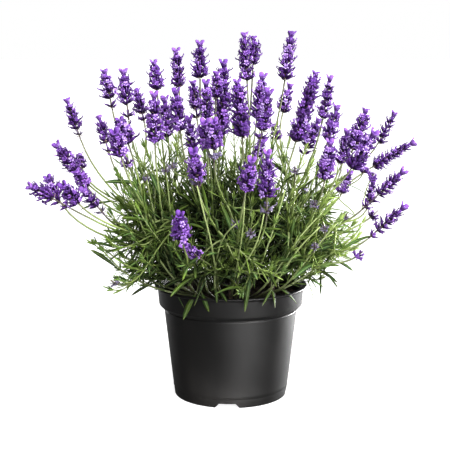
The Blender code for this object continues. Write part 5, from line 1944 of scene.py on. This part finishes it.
def calyx_paint(name, dark, light, rim):
    """Ribbed and downy, paler to the mouth."""
    paint = Paint(name, 0.65, 0.06)
    base = paint.mix(dark, light, paint.level(paint.attribute("tint"), 0, 1, 0.25, 1.0))
    base = paint.mix(base, rim, paint.level(paint.attribute("along"), 0, 0.6, 0.5, 1.0))
    base = paint.mix(base, (0.10, 0.10, 0.06), paint.level(paint.attribute("along"), 0.4, 0.0, 0.0, 0.35))
    speckle = paint.noise(2200, 3)
    paint.colour(paint.mix(base, rim, paint.level(speckle, 0, 0.3, 0.55, 0.8)))
    paint.shader.inputs["Sheen Weight"].default_value = 0.04
    paint.bump(speckle, 0.0002, 0.6)
    return paint.material


def corolla_paint(name, deep, bright, pale):
    """Violet petals, deeper in the throat, with faint veins."""
    paint = Paint(name, 0.5, 0.15)
    base = paint.ramp(paint.attribute("tint"), (0.0, deep), (0.55, bright), (1.0, pale))
    base = paint.mix(base, deep, paint.level(paint.attribute("along"), 0.8, 0.0, 0.0, 0.75))
    veins = paint.noise(1800, 3)
    paint.colour(paint.mix(base, pale, paint.level(veins, 0, 0.3, 0.5, 0.75)))
    paint.shader.inputs["Sheen Weight"].default_value = 0.04
    paint.bump(veins, 0.00015, 0.4)
    return paint.material


def axis_paint():
    """The stem inside a head, green flushed with purple."""
    paint = Paint("head_axis", 0.55, 0.35)
    paint.colour(paint.ramp(paint.noise(300, 3), (0.35, (0.17, 0.17, 0.07)), (0.65, (0.13, 0.07, 0.14))))
    return paint.material


def bract_paint():
    """Papery bracts, tan and rose-brown."""
    paint = Paint("bract", 0.7, 0.3)
    paint.colour(paint.ramp(paint.attribute("tint"), (0.0, (0.08, 0.05, 0.05)), (0.6, (0.26, 0.15, 0.16)),
                            (1.0, (0.42, 0.28, 0.26))))
    paint.bump(paint.noise(1500, 3), 0.00015, 0.5)
    return paint.material


# The studio

def add_camera():
    data = bpy.data.cameras.new("view")
    data.sensor_width = LENS_SENSOR
    data.lens = LENS_SENSOR * SIGHT_FOCAL / PICTURE_SIDE
    data.clip_start = 0.05
    camera = bpy.data.objects.new("view", data)
    bpy.context.scene.collection.objects.link(camera)
    camera.location = EYE
    camera.rotation_euler = (math.pi / 2 - SIGHT_PITCH, 0, 0)
    bpy.context.scene.camera = camera


def add_soft_box(box):
    """A soft box that lights the matt surfaces, the glossy ones or both."""
    data = bpy.data.lights.new(box.name, "AREA")
    data.shape = "RECTANGLE"
    data.size, data.size_y = box.size
    data.energy = box.power
    light = bpy.data.objects.new(box.name, data)
    bpy.context.scene.collection.objects.link(light)
    light.visible_diffuse = box.shown_in != "gloss"
    light.visible_glossy = box.shown_in != "matt"
    light.visible_camera = False
    light.location = box.place
    light.rotation_euler = (Vector(box.aim) - Vector(box.place)).to_track_quat("-Z", "Y").to_euler()


def add_floor():
    """A wide pale floor, which glows white where it is seen directly."""
    bpy.ops.mesh.primitive_circle_add(vertices=FLOOR_SIDES, radius=FLOOR_RADIUS, fill_type="NGON")
    floor = bpy.context.object
    floor.name = "studio_floor"
    paint = Paint("studio_floor", 0.8, 0.2)
    paint.colour(paint.ramp(paint.noise(3, 2), (0.3, (FLOOR_GREY * 0.97,) * 3), (0.7, (FLOOR_GREY,) * 3)))
    paint.shader.inputs["Emission Color"].default_value = WHITE
    seen_directly = paint.node("ShaderNodeLightPath").outputs["Is Camera Ray"]
    paint.feed(paint.math("MULTIPLY", seen_directly, FLOOR_GLOW), paint.shader.inputs["Emission Strength"])
    floor.data.materials.append(paint.material)
    floor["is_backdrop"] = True


def add_world():
    """A sky that is brighter on the right, and plain white where it is seen directly."""
    world = bpy.data.worlds.new("studio")
    bpy.context.scene.world = world
    world.use_nodes = True
    tree = world.node_tree
    background = tree.nodes["Background"]
    background.inputs["Color"].default_value = SKY_COLOUR
    sky = tree.nodes.new("ShaderNodeTexCoord").outputs["Generated"]
    parts = tree.nodes.new("ShaderNodeSeparateXYZ")
    tree.links.new(sky, parts.inputs[0])
    shade = tree.nodes.new("ShaderNodeMapRange")
    tree.links.new(parts.outputs["X"], shade.inputs["Value"])
    ends = {"From Min": -SKY_EDGE, "From Max": SKY_EDGE, "To Min": DARK_SIDE, "To Max": LIGHT_SIDE}
    for label, number in ends.items():
        shade.inputs[label].default_value = number
    tree.links.new(shade.outputs["Result"], background.inputs["Strength"])
    seen = tree.nodes.new("ShaderNodeBackground")
    seen.inputs["Color"].default_value = WHITE
    seen.inputs["Strength"].default_value = 1.0
    either = tree.nodes.new("ShaderNodeMixShader")
    path = tree.nodes.new("ShaderNodeLightPath")
    tree.links.new(path.outputs["Is Camera Ray"], either.inputs[0])
    tree.links.new(background.outputs[0], either.inputs[1])
    tree.links.new(seen.outputs[0], either.inputs[2])
    tree.links.new(either.outputs[0], tree.nodes["World Output"].inputs["Surface"])


def add_key_light():
    """The main light, a wide sun from the right and above."""
    key = bpy.data.lights.new("key", "SUN")
    key.energy = KEY_STRENGTH
    key.angle = KEY_SPREAD
    sun = bpy.data.objects.new("key", key)
    bpy.context.scene.collection.objects.link(sun)
    sun.rotation_euler = Vector(KEY_FROM).to_track_quat("Z", "Y").to_euler()


def add_studio():
    add_floor()
    add_world()
    add_key_light()
    for box in SOFT_BOXES:
        add_soft_box(box)
    bpy.context.scene.view_settings.view_transform = "Standard"
    bpy.context.scene.view_settings.gamma = VIEW_GAMMA


def build_plant():
    draw = random.Random(PLANT_SEED)
    stems = grow_stems(draw)
    keep_apart(stems)
    plan_leaves = place_leaves(stems, draw)
    paths = settle_feet(stems)
    fills = {number: [] for number in range(len(BRANCH_SITES))}
    for branch, path in fill_stems(stems, paths, draw):
        fills[branch].append(path)
    materials = [stem_paint(), leaf_paint(), wood_paint()]
    for number in range(len(BRANCH_SITES)):
        own = [stem for stem in stems if stem.branch == number]
        build_branch(number, own, plan_leaves[number], paths, fills[number], draw, materials)


def build_heads():
    draw = random.Random(HEADS_SEED)
    materials = [
        calyx_paint("calyx", (0.021, 0.003, 0.058), (0.085, 0.019, 0.175), (0.24, 0.115, 0.43)),
        corolla_paint("corolla", (0.13, 0.035, 0.29), (0.38, 0.18, 0.62), (0.62, 0.46, 0.85)),
        axis_paint(),
        bract_paint(),
        calyx_paint("spent_calyx", (0.09, 0.075, 0.12), (0.22, 0.19, 0.26), (0.40, 0.36, 0.46)),
        corolla_paint("spent_corolla", (0.16, 0.12, 0.28), (0.28, 0.24, 0.38), (0.44, 0.39, 0.52)),
    ]
    for number, bloom in enumerate(HEADS, 1):
        open_share = OPEN_SHARES.get(bloom.tip, draw.uniform(*USUAL_OPEN_SHARES))
        size = draw.uniform(*HEAD_SIZES) * (FULL_HEAD if bloom.tip in FULL_HEADS else 1)
        size *= SLIM_HEAD if bloom.tip in SLIM_HEADS else 1
        habit = Habit(open_share, size, False, bloom.tip in LONE_SPENT)
        build_head(f"flower_head_{number:02}", bloom, habit, draw, materials, f"head_{number:02}")
    for number, bloom in enumerate(SMALL_HEADS + SPENT_WHORLS + SIDE_WHORLS, 1):
        spent = bloom.tip in SPENT or bloom in SPENT_WHORLS
        tufted = bloom in SMALL_HEADS and bloom.tip not in STARS
        open_share = SPENT_OPEN_SHARE if spent else SMALL_OPEN_SHARE
        habit = Habit(open_share, SPENT_SIZE if spent else 1, spent, spent, tufted)
        build_head(f"small_head_{number:02}", bloom, habit, draw, materials)


add_camera()
build_pot(pot_paint())
build_soil(soil_paint("peat", (0.006, 0.004, 0.003), (0.022, 0.015, 0.010)),
           soil_paint("peat_crumbs", (0.010, 0.007, 0.005), (0.04, 0.027, 0.018)), random.Random(SOIL_SEED))
build_plant()
build_heads()
add_studio()

{name: [list(corner) for corner in box] for name, box in (("cad", CAD_BOX), ("visual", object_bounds()))}
